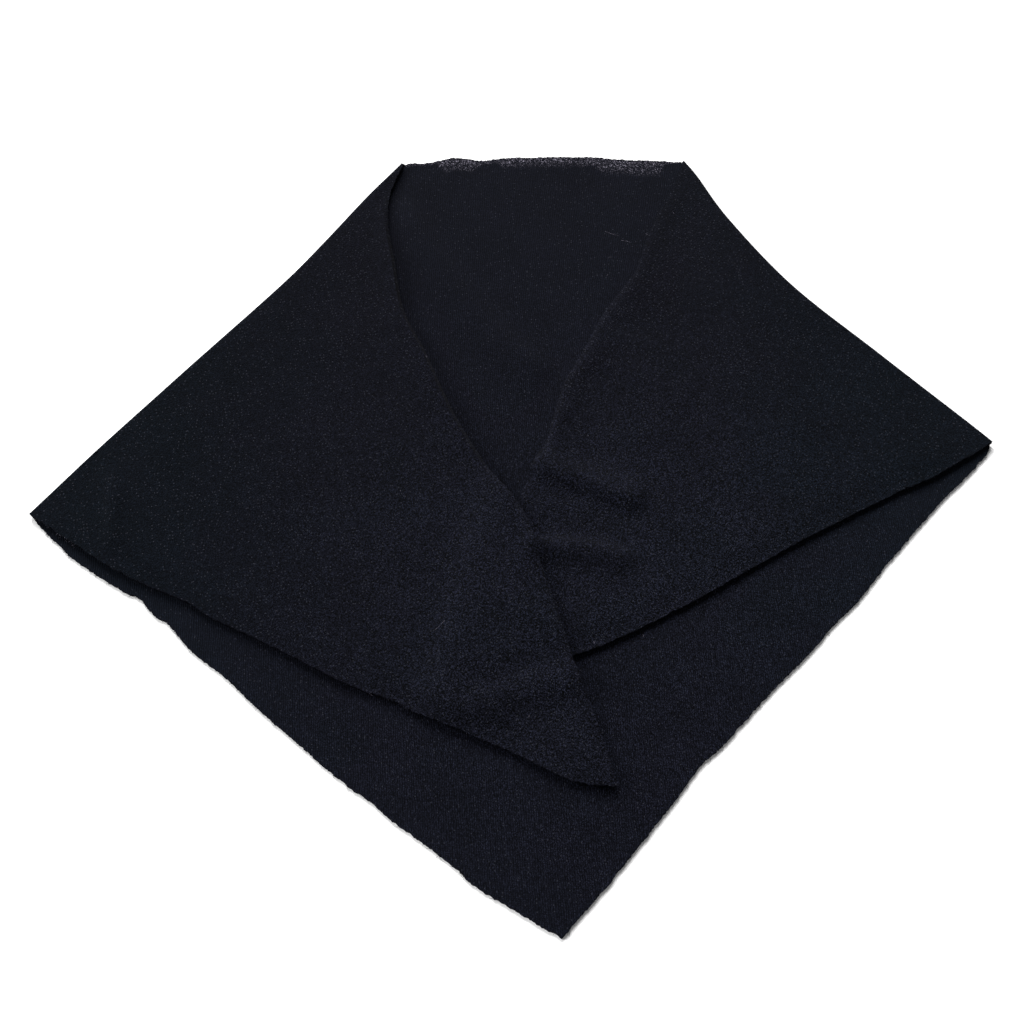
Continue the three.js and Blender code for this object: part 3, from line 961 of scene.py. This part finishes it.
    def _thicken(self, cloth: bpy.types.Object) -> None:
        """Gives the sheet its wall, with its own finish on each face and on the cut edge.

        Args:
            cloth: the sheet.
        """
        wall = cloth.modifiers.new("wall", "SOLIDIFY")
        wall.thickness = THICKNESS
        wall.offset = 0.0
        wall.use_rim = True
        wall.material_offset = 1
        wall.material_offset_rim = 2
        for finish in (KnitFace(), BrushedBack(), CutEdge()):
            cloth.data.materials.append(finish.material())
        work_on(cloth)
        bpy.ops.object.modifier_apply(modifier="wall")
        bpy.ops.object.shade_smooth_by_angle(angle=math.radians(self.smooth_angle))


class StrandPaths(NamedTuple):
    """Four guide points for each strand, and each strand's radius, in metres."""

    guides: Array
    radius: Array


def curled(root: Array, way: Array, aside: Array, shares: Sequence[tuple]) -> Array:
    """Guide points of fibres, each at a share of the way and of the curl aside from the root.

    Args:
        root: where each fibre starts.
        way: the whole way of each.
        aside: the whole curl of each.
        shares: the shares of both, for each guide point.

    Returns:
        The guide points of each fibre.
    """
    return np.stack([root + way * along + aside * curl for along, curl in shares], axis=1)


@dataclass
class Strands:
    """Many short fibres made from one three-sided strand."""

    name: str
    sections: int = 4
    taper: float = 0.6
    nearly_up: tuple = (0.12, 0.07, 1.0)

    def build(self, paths: StrandPaths, material: bpy.types.Material) -> bpy.types.Object:
        """Lays a copy of the strand along each path.

        Args:
            paths: guide points and radii.
            material: finish of the fibres.

        Returns:
            All the fibres as one piece.
        """
        bpy.ops.mesh.primitive_cylinder_add(vertices=3, radius=1.0, depth=1.0, end_fill_type="NGON")
        strand = bpy.context.object
        with edit_mode("DESELECT"):
            work = bmesh.from_edit_mesh(strand.data)
            for edge in work.edges:
                edge.select = abs(edge.verts[0].co.z - edge.verts[1].co.z) > 0.5
            bmesh.update_edit_mesh(strand.data)
            bpy.ops.mesh.subdivide(number_cuts=self.sections - 1)
        model = coordinates(strand)
        faces = [tuple(face.vertices) for face in strand.data.polygons]
        count = len(paths.guides)
        points = self._bend(model, paths).reshape(-1, 3)
        every = [tuple(i + k * len(model) for i in face) for k in range(count) for face in faces]
        mesh = bpy.data.meshes.new(self.name)
        mesh.from_pydata(points.tolist(), [], every)
        strand.data = mesh
        strand.name = self.name
        strand.data.materials.append(material)
        work_on(strand)
        bpy.ops.object.shade_smooth()
        return strand

    def _bend(self, model: Array, paths: StrandPaths) -> Array:
        """Bends the upright strand along every path.

        Args:
            model: vertices of the upright strand.
            paths: guide points and radii.

        Returns:
            The vertices of every copy.
        """
        share = (model[:, 2] + 0.5)[None, :, None]
        a, b, c, d = (paths.guides[:, None, k, :] for k in range(4))
        rest = 1.0 - share
        place = a * rest**3 + 3 * b * share * rest**2 + 3 * c * share**2 * rest + d * share**3
        way = (b - a) * rest**2 + 2 * (c - b) * share * rest + (d - c) * share**2
        way = way / np.maximum(np.linalg.norm(way, axis=2, keepdims=True), TINY)
        beside = np.cross(way, self.nearly_up)
        beside = beside / np.maximum(np.linalg.norm(beside, axis=2, keepdims=True), TINY)
        above = np.cross(beside, way)
        thick = paths.radius[:, None, None] * (1.0 - self.taper * share)
        return place + thick * (model[None, :, 0:1] * beside + model[None, :, 1:2] * above)


@dataclass
class LooseEnds:
    """Loose ends of yarn along the cut edge, more of them round some places."""

    name: str
    everywhere: float
    frays: Sequence[Fray]
    count: int
    reach: float = 1.5 * MM
    root_slip: float = 0.5 * MM
    root_rise: float = 0.45 * THICKNESS
    root_depth: float = 0.3 * MM
    turn: float = 0.6
    bend: float = 0.5
    clearance: float = 0.15 * MM
    usual_length: float = 0.45
    lengths: tuple = (0.15, 1.6)
    yarn_radius: float = 0.10 * MM
    radii: tuple = (0.6, 1.2)
    curl: tuple = ((0.0, 0.0), (0.5, 0.0), (0.9, 0.6), (0.8, 1.5))
    seed: int = 11

    def build(self, walk: RimWalk, material: bpy.types.Material) -> bpy.types.Object:
        """Models the loose ends.

        Args:
            walk: the cut edge.
            material: finish of the yarn.

        Returns:
            One piece with all of them.
        """
        rng = np.random.default_rng(self.seed)
        steps = np.linalg.norm(np.roll(walk.places, -1, axis=0) - walk.places, axis=1)
        weight = steps * self.everywhere
        for row in self.frays:
            far = np.hypot(walk.places[:, 0] - row.x, walk.places[:, 1] - row.y)
            weight = weight + steps * row.more * np.exp(-((far / row.reach) ** 2))
        pick = rng.choice(len(steps), size=self.count, p=weight / weight.sum())
        along = np.cross(walk.upward[pick], walk.outward[pick])
        root = walk.places[pick] + along * rng.uniform(-1.0, 1.0, (self.count, 1)) * self.root_slip
        root = root + walk.upward[pick] * rng.uniform(-1.0, 1.0, (self.count, 1)) * self.root_rise
        root = root - walk.outward[pick] * self.root_depth
        length = rng.exponential(self.usual_length, (self.count, 1))
        length = np.clip(length, *self.lengths) * self.reach
        way = walk.outward[pick] + along * rng.normal(0.0, self.turn, (self.count, 1))
        way = way / np.linalg.norm(way, axis=1, keepdims=True)
        aside = along * rng.normal(0.0, self.bend, (self.count, 1))
        guides = curled(root, way * length, aside * length, self.curl)
        guides[:, :, 2] = np.maximum(guides[:, :, 2], self.clearance)
        radius = self.yarn_radius * rng.uniform(*self.radii, self.count)
        return Strands(self.name).build(StrandPaths(guides, radius), material)


@dataclass
class NeckFuzz:
    """Pale fluff that stands out of the knit along the neck edge.

    Its lengths, rises and radii are ranges in mm.
    """

    count: int = 1500
    ends: tuple = (0.01, 0.985)
    deepest: float = 0.011
    first_row: float = 0.5 * MM
    crowding: float = 1.2
    lengths: tuple = (0.3, 0.9)
    bend: float = 0.5
    rises: tuple = (0.1, 0.35)
    radii: tuple = (0.05, 0.11)
    curl: tuple = ((0.0, 0.0), (0.4, 0.0), (0.8, 1.0), (1.0, 1.6))
    seed: int = 5

    def build(self, shape: FoldedCloth) -> bpy.types.Object:
        """Models the fluff on the panel's upper side.

        Args:
            shape: outline and heights of the folded cloth.

        Returns:
            One piece with all of it.
        """
        rng = np.random.default_rng(self.seed)
        along = rng.uniform(*self.ends, self.count)
        deep = share_at(NECK_FUZZ_DEPTH, along)
        keep = rng.uniform(0.0, self.deepest, self.count) < deep
        along, deep = along[keep], deep[keep]
        count = len(along)
        down = self.first_row + deep * rng.uniform(0.0, 1.0, count) ** self.crowding
        tangent = shape.neck_curve.tangent_at(along)
        inward = np.stack([tangent[:, 1], -tangent[:, 0]], axis=1)
        place = shape.neck_curve.at(along) + inward * down[:, None]
        root = np.column_stack([place, shape.panel_level(place) + THICKNESS / 2])
        turn = rng.uniform(0.0, 2.0 * math.pi, count)
        way = np.stack([np.cos(turn), np.sin(turn), np.zeros(count)], axis=1)
        beside = np.stack([-np.sin(turn), np.cos(turn), np.zeros(count)], axis=1)
        length = rng.uniform(*self.lengths, (count, 1)) * MM
        bend = rng.normal(0.0, self.bend, (count, 1))
        guides = curled(root, way * length, beside * bend * length, self.curl)
        guides[:, 1:3, 2] += rng.uniform(*self.rises, (count, 1)) * MM
        radius = rng.uniform(*self.radii, count) * MM
        paths = StrandPaths(guides, radius)
        return Strands("neck_fuzz").build(paths, Fibre.PALE_FLUFF.value.material())


@dataclass
class StrayThreads:
    """Small bits of thread that lie on the cloth."""

    radius: float = 0.13 * MM

    def build(self, shape: FoldedCloth) -> bpy.types.Object:
        """Lays every thread on the layer that it lies on.

        Args:
            shape: outline and heights of the folded cloth.

        Returns:
            One piece with all of them.
        """
        guides = [self._guides(shape, row, None) for row in PANEL_THREADS]
        for side in (shape.left, shape.right):
            guides.extend(self._guides(shape, row, side) for row in side.shape.threads)
        radius = np.full(len(guides), self.radius)
        paths = StrandPaths(np.array(guides), radius)
        return Strands("stray_threads", sections=9).build(paths, Fibre.PALE_FLUFF.value.material())

    def _guides(self, shape: FoldedCloth, row: Thread, side: Optional[FoldedSide]) -> Array:
        """Guide points of one thread, a third of its length apart.

        Args:
            shape: outline and heights of the folded cloth.
            row: the thread's place, headings and length.
            side: the side whose wing it lies on, or None where it lies on the panel.

        Returns:
            The four points.
        """
        headings = np.radians(row.heading + row.turn * np.arange(3))
        steps = np.stack([np.cos(headings), np.sin(headings)], axis=1) * row.length * MM / 3
        start = shape.places([(row.across, row.down)])[0]
        places = start + np.concatenate([[[0.0, 0.0]], np.cumsum(steps, axis=0)])
        if side is None:
            level = shape.panel_level(places)
        else:
            level = shape.wing_level(side, places, np.full(len(places), 0.5))
        return np.column_stack([places, level + THICKNESS / 2 + self.radius])


class Grain(NamedTuple):
    """Soft noise: length of one grain in metres, how many finer layers it has, and the values of
    its darkest and its lightest places."""

    size: float
    detail: float
    low: float
    high: float


class Flecks(NamedTuple):
    """Scattered specks: usual distance in metres between places where one may be, the share of
    those places that have one, and a speck's radius as a share of that distance."""

    size: float
    amount: float
    reach: float


class Bench:
    """Adds nodes and links to one material."""

    # Middle and reach of the slow map that sets the grain and paints light, lighter in the middle of the
    # cloth and darker at its far sides.
    map_middle = (0.05, -0.08, 0.0)
    map_reach = (0.05, 0.27)
    dye_reach = (0.06, 0.24)
    dye_drift = Grain(45 * MM, 1.0, -0.12, 0.12)
    salt_size = 0.32 * MM
    salt_peak = 2.2
    salt_mean = 0.81

    def __init__(self, name: str) -> None:
        """Starts a material with one shader.

        Args:
            name: the material's name.
        """
        self.material = bpy.data.materials.new(name)
        self.material.use_nodes = True
        self.tree = self.material.node_tree
        self.shader = self.tree.nodes["Principled BSDF"]

    def set(self, **inputs: Value) -> None:
        """Sets or links the shader's own sockets, named with underscores for spaces.

        Args:
            inputs: values or links, by the socket's name.
        """
        for name, value in inputs.items():
            self._feed(self.shader.inputs[name.replace("_", " ")], value)

    def _feed(self, socket: bpy.types.NodeSocket, value: Value) -> None:
        """Gives a socket a value or a link.

        Args:
            socket: an input of a node.
            value: what it gets: a value, or the output of a node.
        """
        if isinstance(value, bpy.types.NodeSocket):
            self.tree.links.new(value, socket)
        else:
            socket.default_value = value

    def add(self, kind: str, inputs: dict, **settings: object) -> bpy.types.Node:
        """Adds a node.

        Args:
            kind: the node's type.
            inputs: values or links for its sockets, by name or number.
            settings: its other properties.

        Returns:
            The node.
        """
        node = self.tree.nodes.new(kind)
        for name, value in settings.items():
            setattr(node, name, value)
        for key, value in inputs.items():
            self._feed(node.inputs[key], value)
        return node

    def math(self, operation: str, first: Value, second: Value = 0.0) -> bpy.types.NodeSocket:
        """One arithmetic step."""
        return self.add("ShaderNodeMath", {0: first, 1: second}, operation=operation).outputs[0]

    def product(self, first: Value, *others: Value) -> bpy.types.NodeSocket:
        """Multiplies values.

        Args:
            first: the first value.
            others: all other values.

        Returns:
            What they come to.
        """
        for other in others:
            first = self.math("MULTIPLY", first, other)
        return first

    def flat(self) -> bpy.types.NodeSocket:
        """Places on the flat cut, in metres."""
        return self.add("ShaderNodeUVMap", {}, uv_map="flat_cut").outputs["UV"]

    def place(self) -> bpy.types.NodeSocket:
        """Places in the folded cloth's own frame, in metres."""
        return self.add("ShaderNodeTexCoord", {}).outputs["Object"]

    def grain(self, row: Grain) -> bpy.types.NodeSocket:
        """Soft noise between two values.

        Args:
            row: sizes and values of the noise.

        Returns:
            The noise.
        """
        field = self.add(
            "ShaderNodeTexNoise",
            {"Vector": self.flat(), "Scale": 1.0 / row.size, "Detail": row.detail, "Roughness": 0.6},
        )
        return self.spread(field.outputs[0], *NOISE_RANGE, row.low, row.high)

    def spread(
        self, value: bpy.types.NodeSocket, start: float, end: float, low: float, high: float
    ) -> bpy.types.NodeSocket:
        """Maps one range of a value to another, smoothly.

        Args:
            value: the value to map.
            start: its lower end.
            end: its upper end.
            low: what the lower end becomes.
            high: what the upper end becomes.

        Returns:
            The mapped value.
        """
        return self.add(
            "ShaderNodeMapRange",
            {"Value": value, "From Min": start, "From Max": end, "To Min": low, "To Max": high},
            interpolation_type="SMOOTHSTEP",
        ).outputs[0]

    def cells(self, size: float) -> tuple[bpy.types.NodeSocket, bpy.types.NodeSocket]:
        """Small cells of uneven shape.

        Args:
            size: usual width of a cell, in metres.

        Returns:
            A value between 0 and 1 for each cell, and the distance from its middle.
        """
        cells = self.add(
            "ShaderNodeTexVoronoi", {"Vector": self.flat(), "Scale": 1.0 / size}, voronoi_dimensions="2D"
        )
        chance = self.add("ShaderNodeSeparateColor", {0: cells.outputs["Color"]}).outputs[0]
        return chance, cells.outputs["Distance"]

    def salt(self, amount: Value) -> bpy.types.NodeSocket:
        """Salt and pepper round 1: many dark cells, and a few bright ones among them.

        Args:
            amount: how far the cells differ, where 1 or more makes the darkest nearly black.

        Returns:
            The cells' values.
        """
        chance = self.cells(self.salt_size)[0]
        peak = self.product(self.math("POWER", chance, 6.0), self.salt_peak)
        away = self.math("SUBTRACT", self.math("ADD", chance, peak), self.salt_mean)
        return self.math("MAXIMUM", self.math("ADD", self.product(away, amount), 1.0), 0.05)

    def flecks(self, row: Flecks) -> bpy.types.NodeSocket:
        """Scattered small specks, 1 in the middle of a speck and 0 elsewhere.

        Args:
            row: sizes and number of the specks.

        Returns:
            The mask.
        """
        chance, distance = self.cells(row.size)
        chosen = self.math("LESS_THAN", chance, row.amount)
        return self.product(chosen, self.spread(distance, row.reach * 0.4, row.reach, 1.0, 0.0))

    def tone(self, colour: Value, value: bpy.types.NodeSocket) -> bpy.types.NodeSocket:
        """A colour made darker or lighter by a value."""
        colour = colour if isinstance(colour, bpy.types.NodeSocket) else colour[:3]
        return self.add("ShaderNodeVectorMath", {0: colour, "Scale": value}, operation="SCALE").outputs[0]

    def blend(self, share: Value, first: Value, second: Value) -> bpy.types.NodeSocket:
        """Mixes two colours.

        Args:
            share: how much of the second colour there is.
            first: one colour.
            second: the other colour.

        Returns:
            The mixed colour.
        """
        node = self.add("ShaderNodeMix", {"Factor": share}, data_type="RGBA")
        self._feed(node.inputs[MIX_FIRST], first)
        self._feed(node.inputs[MIX_SECOND], second)
        return node.outputs[MIX_COLOUR]

    def dye(self, middle: tuple, sides: tuple) -> bpy.types.NodeSocket:
        """The cloth's colour, which drifts from one tint in the middle to another at the sides.

        Args:
            middle: colour in the middle.
            sides: colour at both sides.

        Returns:
            The colour, which changes over the cloth.
        """
        across = self.add("ShaderNodeSeparateXYZ", {0: self.place()}).outputs[0]
        out = self.spread(self.math("ABSOLUTE", across), *self.dye_reach, 0.0, 0.9)
        return self.blend(self.math("ADD", out, self.grain(self.dye_drift)), middle, sides)

    def nap_and_painted_light(self, low: float, high: float) -> bpy.types.NodeSocket:
        """Slow map, least at the far sides and most where the wings cross: how much the pile stands up where
        it sets the grain, and painted light where it lightens the colour.

        Args:
            low: value at the far sides.
            high: value where the wings cross.

        Returns:
            The value, which changes slowly over the cloth.
        """
        offset = self.add(
            "ShaderNodeVectorMath", {0: self.place(), 1: self.map_middle}, operation="DISTANCE"
        ).outputs["Value"]
        return self.spread(offset, *self.map_reach, high, low)

    def mask(self, name: str) -> bpy.types.NodeSocket:
        """A value stored on the cloth."""
        return self.add("ShaderNodeAttribute", {}, attribute_name=name).outputs["Fac"]

    def relief(self, height: bpy.types.NodeSocket, depth: float) -> bpy.types.NodeSocket:
        """Bumps for a finish.

        Args:
            height: where they are high and low.
            depth: how deep they are, in metres.

        Returns:
            The turned normals.
        """
        return self.add(
            "ShaderNodeBump", {"Height": height, "Distance": depth, "Strength": 1.0}
        ).outputs[0]


@dataclass(frozen=True)
class KnitFace:
    """Smooth face of the knit: upright wales of small loops, with stray pale fibres."""

    middle: tuple = (0.0032, 0.0036, 0.0063, 1.0)
    sides: tuple = (0.0027, 0.0038, 0.0063, 1.0)
    fleck: tuple = (0.018, 0.019, 0.026, 1.0)
    fluff: tuple = (0.165, 0.155, 0.195, 1.0)
    wale: float = 1.13 * MM
    course: float = 0.86 * MM
    slant: float = 0.55
    loop_share: float = 0.35
    depth: float = 0.22 * MM
    salt: tuple = (0.45, 1.25)
    # Lightness of the colour from the far sides to the middle of the cloth: painted light.
    nap_and_painted_light: tuple = (0.95, 1.02)
    flecks: Flecks = Flecks(2.6 * MM, 0.2, 0.16)
    wander: Grain = Grain(9 * MM, 1.0, -0.25, 0.25)
    uneven: Grain = Grain(30 * MM, 2.0, 0.92, 1.08)
    fuzz_patches: Grain = Grain(3 * MM, 1.0, 0.2, 1.5)
    roughness: Grain = Grain(2 * MM, 2.0, 0.82, 0.94)

    def material(self) -> bpy.types.Material:
        """Makes the finish.

        Returns:
            The material.
        """
        bench = Bench("knit_face")
        axes = bench.add("ShaderNodeSeparateXYZ", {0: bench.flat()}).outputs
        across = bench.math("ADD", bench.math("DIVIDE", axes[0], self.wale), bench.grain(self.wander))
        part = bench.math("FRACT", across)
        away = bench.product(bench.math("ABSOLUTE", bench.math("SUBTRACT", part, 0.5)), 2.0)
        course = bench.math("DIVIDE", axes[1], self.course)
        slanted = bench.math("FRACT", bench.math("SUBTRACT", course, bench.product(away, self.slant)))
        loop = bench.math("SINE", bench.product(slanted, math.pi))
        rib = bench.math("SUBTRACT", 1.0, bench.math("POWER", away, 3.0))
        loop = bench.math("ADD", bench.product(loop, self.loop_share), 1.0 - self.loop_share)
        height = bench.product(rib, loop)
        shade = bench.product(
            bench.spread(height, 0.0, 1.0, 0.5, 1.25),
            bench.salt(bench.nap_and_painted_light(*self.salt)),
            # Painted light: lighter in the middle of the cloth, darker at its far sides.
            bench.nap_and_painted_light(*self.nap_and_painted_light),
            bench.grain(self.uneven),
        )
        colour = bench.tone(bench.dye(self.middle, self.sides), shade)
        colour = bench.blend(bench.flecks(self.flecks), colour, self.fleck)
        colour = self._fuzzy(bench, colour)
        bench.set(
            Base_Color=colour,
            Roughness=bench.grain(self.roughness),
            Specular_IOR_Level=0.02,
            Sheen_Weight=0.01,
            Sheen_Roughness=0.5,
            Normal=bench.relief(height, self.depth),
        )
        return bench.material

    def _fuzzy(self, bench: Bench, colour: bpy.types.NodeSocket) -> bpy.types.NodeSocket:
        """Adds the pale fuzz along the neck edge, and the dark line right at the edge.

        Args:
            bench: the bench that makes the finish.
            colour: the colour without them.

        Returns:
            The colour with them.
        """
        ratio = bench.mask("fuzz")
        near = bench.spread(ratio, 0.1, 1.4, 1.8, 0.0)
        chance = bench.cells(0.5 * MM)[0]
        patches = bench.grain(self.fuzz_patches)
        fluffy = bench.product(near, bench.math("POWER", chance, 9.0), patches)
        colour = bench.blend(fluffy, colour, self.fluff)
        return bench.tone(colour, bench.spread(ratio, 0.0, 0.12, 0.3, 1.0))


@dataclass(frozen=True)
class BrushedBack:
    """Brushed side of the knit: a short matted pile with small pills and pale specks, and painted light that
    makes it lighter in the middle of the cloth.
    """

    middle: tuple = (0.0030, 0.0033, 0.0058, 1.0)
    sides: tuple = (0.0021, 0.0033, 0.0054, 1.0)
    fleck: tuple = (0.020, 0.021, 0.028, 1.0)
    depth: float = 0.35 * MM
    salt: tuple = (0.7, 1.6)
    # Lightness of the colour from the far sides to the middle of the cloth: painted light.
    nap_and_painted_light: tuple = (0.86, 1.16)
    flecks: Flecks = Flecks(2.0 * MM, 0.25, 0.2)
    hair_size: float = 1.6 * MM
    matting: Grain = Grain(1.1 * MM, 3.0, 0.0, 1.0)
    pills: Grain = Grain(5 * MM, 1.0, 0.94, 1.06)
    uneven: Grain = Grain(36 * MM, 2.0, 0.92, 1.08)
    roughness: Grain = Grain(3 * MM, 2.0, 0.89, 0.99)

    def material(self) -> bpy.types.Material:
        """Makes the finish.

        Returns:
            The material.
        """
        bench = Bench("brushed_back")
        hair = bench.add(
            "ShaderNodeTexNoise",
            {"Vector": bench.flat(), "Scale": 1.0 / self.hair_size, "Detail": 3.0, "Distortion": 2.2},
        ).outputs[0]
        matted = bench.product(bench.grain(self.matting), 0.6)
        matted = bench.math("ADD", matted, bench.product(hair, 0.5))
        shade = bench.product(
            bench.spread(matted, 0.2, 0.9, 0.85, 1.15),
            bench.salt(bench.nap_and_painted_light(*self.salt)),
            # Painted light: lighter in the middle of the cloth, darker at its far sides.
            bench.nap_and_painted_light(*self.nap_and_painted_light),
            bench.grain(self.pills),
            bench.grain(self.uneven),
        )
        colour = bench.tone(bench.dye(self.middle, self.sides), shade)
        colour = bench.blend(bench.flecks(self.flecks), colour, self.fleck)
        bench.set(
            Base_Color=colour,
            Roughness=bench.grain(self.roughness),
            Specular_IOR_Level=0.02,
            Sheen_Weight=0.01,
            Sheen_Roughness=0.55,
            Normal=bench.relief(matted, self.depth),
        )
        return bench.material


@dataclass(frozen=True)
class CutEdge:
    """Raw cut through the knit: ends of yarn between the two faces."""

    colour: tuple = (0.0040, 0.0043, 0.0070, 1.0)
    fleck: tuple = (0.024, 0.024, 0.032, 1.0)
    depth: float = 0.3 * MM
    ends: Grain = Grain(0.8 * MM, 2.0, 0.0, 1.0)
    roughness: Grain = Grain(1 * MM, 1.0, 0.85, 0.98)

    def material(self) -> bpy.types.Material:
        """Makes the finish.

        Returns:
            The material.
        """
        bench = Bench("cut_edge")
        ends = bench.grain(self.ends)
        shade = bench.spread(ends, 0.0, 1.0, 0.6, 1.4)
        speck = bench.math("POWER", ends, 4.0)
        colour = bench.blend(bench.product(speck, 0.5), bench.tone(self.colour, shade), self.fleck)
        bench.set(
            Base_Color=colour,
            Roughness=bench.grain(self.roughness),
            Specular_IOR_Level=0.02,
            Normal=bench.relief(ends, self.depth),
        )
        return bench.material


@dataclass(frozen=True)
class FibreFinish:
    """Finish of fibres that differ a little from each other, from a low to a high share of their
    middle colour."""

    name: str
    colour: tuple
    low: float
    high: float = 1.5

    def material(self) -> bpy.types.Material:
        """Makes the finish.

        Returns:
            The material.
        """
        bench = Bench(self.name)
        field = bench.add(
            "ShaderNodeTexNoise", {"Vector": bench.place(), "Scale": 1.0 / (1.5 * MM), "Detail": 1.0}
        ).outputs[0]
        bench.set(
            Base_Color=bench.tone(self.colour, bench.spread(field, *NOISE_RANGE, self.low, self.high)),
            Roughness=bench.spread(field, *NOISE_RANGE, 0.8, 0.95),
            Specular_IOR_Level=0.05,
        )
        return bench.material


class Fibre(Enum):
    """Kinds of fibre that stand out of the cloth."""

    LOOSE_YARN = FibreFinish("loose_yarn", (0.0055, 0.0058, 0.0092, 1.0), 0.6)
    PALE_FLUFF = FibreFinish("pale_fluff", (0.105, 0.098, 0.128, 1.0), 0.35)


@dataclass(frozen=True)
class PaleFloor:
    """Plain near-white table."""

    colour: tuple = (0.90, 0.90, 0.90, 1.0)

    def material(self) -> bpy.types.Material:
        """Makes the finish.

        Returns:
            The material.
        """
        bench = Bench("pale_floor")
        bench.set(Base_Color=self.colour, Roughness=0.9, Specular_IOR_Level=0.0)
        return bench.material


class Light(NamedTuple):
    """Far soft light. Its height above the table, its heading and how wide it seems are angles in
    degrees."""

    name: str
    height: float
    heading: float
    strength: float
    width: float


LIGHTS = (Light("key", 37.0, 98.0, 5.6, 42.0), Light("side", 28.0, 168.0, 3.4, 28.0))


@dataclass
class Studio:
    """Pale table, soft lights, and the camera where the photographer stood."""

    aim: tuple = (-3.247 * MM, -14.738 * MM, 0.0)
    distance: float = 765.787 * MM
    tilt: float = 30.0
    lens: float = 50.0
    sensor: float = 36.0
    room: float = 0.33
    table_size: float = 6.0
    table_drop: float = 0.1 * MM

    def build(self) -> None:
        """Sets up the table, the lights and the camera."""
        bpy.ops.mesh.primitive_plane_add(size=self.table_size, location=(0.0, 0.0, -self.table_drop))
        floor = bpy.context.object
        floor.name = "table"
        floor.data.materials.append(PaleFloor().material())
        for light in LIGHTS:
            self._light(light)
        self._room()
        self._camera()
        view = bpy.context.scene.view_settings
        view.view_transform = "Standard"
        view.look = "None"

    @staticmethod
    def _light(light: Light) -> None:
        """Adds one light.

        Args:
            light: the light to add.
        """
        turn, rise = math.radians(light.heading), math.radians(light.height)
        towards = Vector((math.cos(turn) * math.cos(rise), math.sin(turn) * math.cos(rise), math.sin(rise)))
        bpy.ops.object.light_add(type="SUN", location=towards * 2.0)
        lamp = bpy.context.object
        lamp.name = light.name
        lamp.rotation_euler = towards.to_track_quat("Z", "Y").to_euler()
        lamp.data.energy = light.strength
        lamp.data.angle = math.radians(light.width)

    def _room(self) -> None:
        """Lights the scene evenly from all round."""
        world = bpy.data.worlds.new("room")
        world.use_nodes = True
        back = world.node_tree.nodes["Background"]
        back.inputs["Color"].default_value = (1.0, 1.0, 1.0, 1.0)
        back.inputs["Strength"].default_value = self.room
        bpy.context.scene.world = world

    def _camera(self) -> None:
        """Puts the camera where the photograph was taken."""
        turn = math.radians(self.tilt)
        back = Vector((0.0, -math.sin(turn), math.cos(turn))) * self.distance
        bpy.ops.object.camera_add(location=Vector(self.aim) + back, rotation=(turn, 0.0, 0.0))
        camera = bpy.context.object
        camera.data.lens = self.lens
        camera.data.sensor_width = self.sensor
        camera.data.clip_start = 0.01
        camera.data.clip_end = 20.0
        bpy.context.scene.camera = camera


def main() -> None:
    """Builds the neckerchief and its studio."""
    logging.basicConfig(level=logging.INFO, format="%(name)s: %(message)s")
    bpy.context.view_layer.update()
    bpy.ops.object.select_all(action="DESELECT")
    Studio().build()
    shape = FoldedCloth()
    cloth, walk = ClothPiece().build(shape)
    loose = LooseEnds("frayed_edge", everywhere=1.0, count=2600, frays=(
        Fray(-0.205, 0.0, 0.012, 2.0), Fray(0.033, -0.15, 0.02, 1.0),
    ))
    tufts = LooseEnds("pale_tufts", everywhere=0.02, count=200, yarn_radius=0.08 * MM, seed=23, frays=(
        Fray(-0.174, -0.086, 0.006, 4.0), Fray(-0.241, -0.037, 0.009, 3.0),
    ))
    pieces = [
        loose.build(walk, Fibre.LOOSE_YARN.value.material()),
        tufts.build(walk, Fibre.PALE_FLUFF.value.material()),
        NeckFuzz().build(shape),
        StrayThreads().build(shape),
    ]
    for piece in (cloth, *pieces):
        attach(piece, BODY)
        LOG.info("%s: %d faces", piece.name, len(piece.data.polygons))
    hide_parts(NODE)


if __name__ == "__main__":
    main()
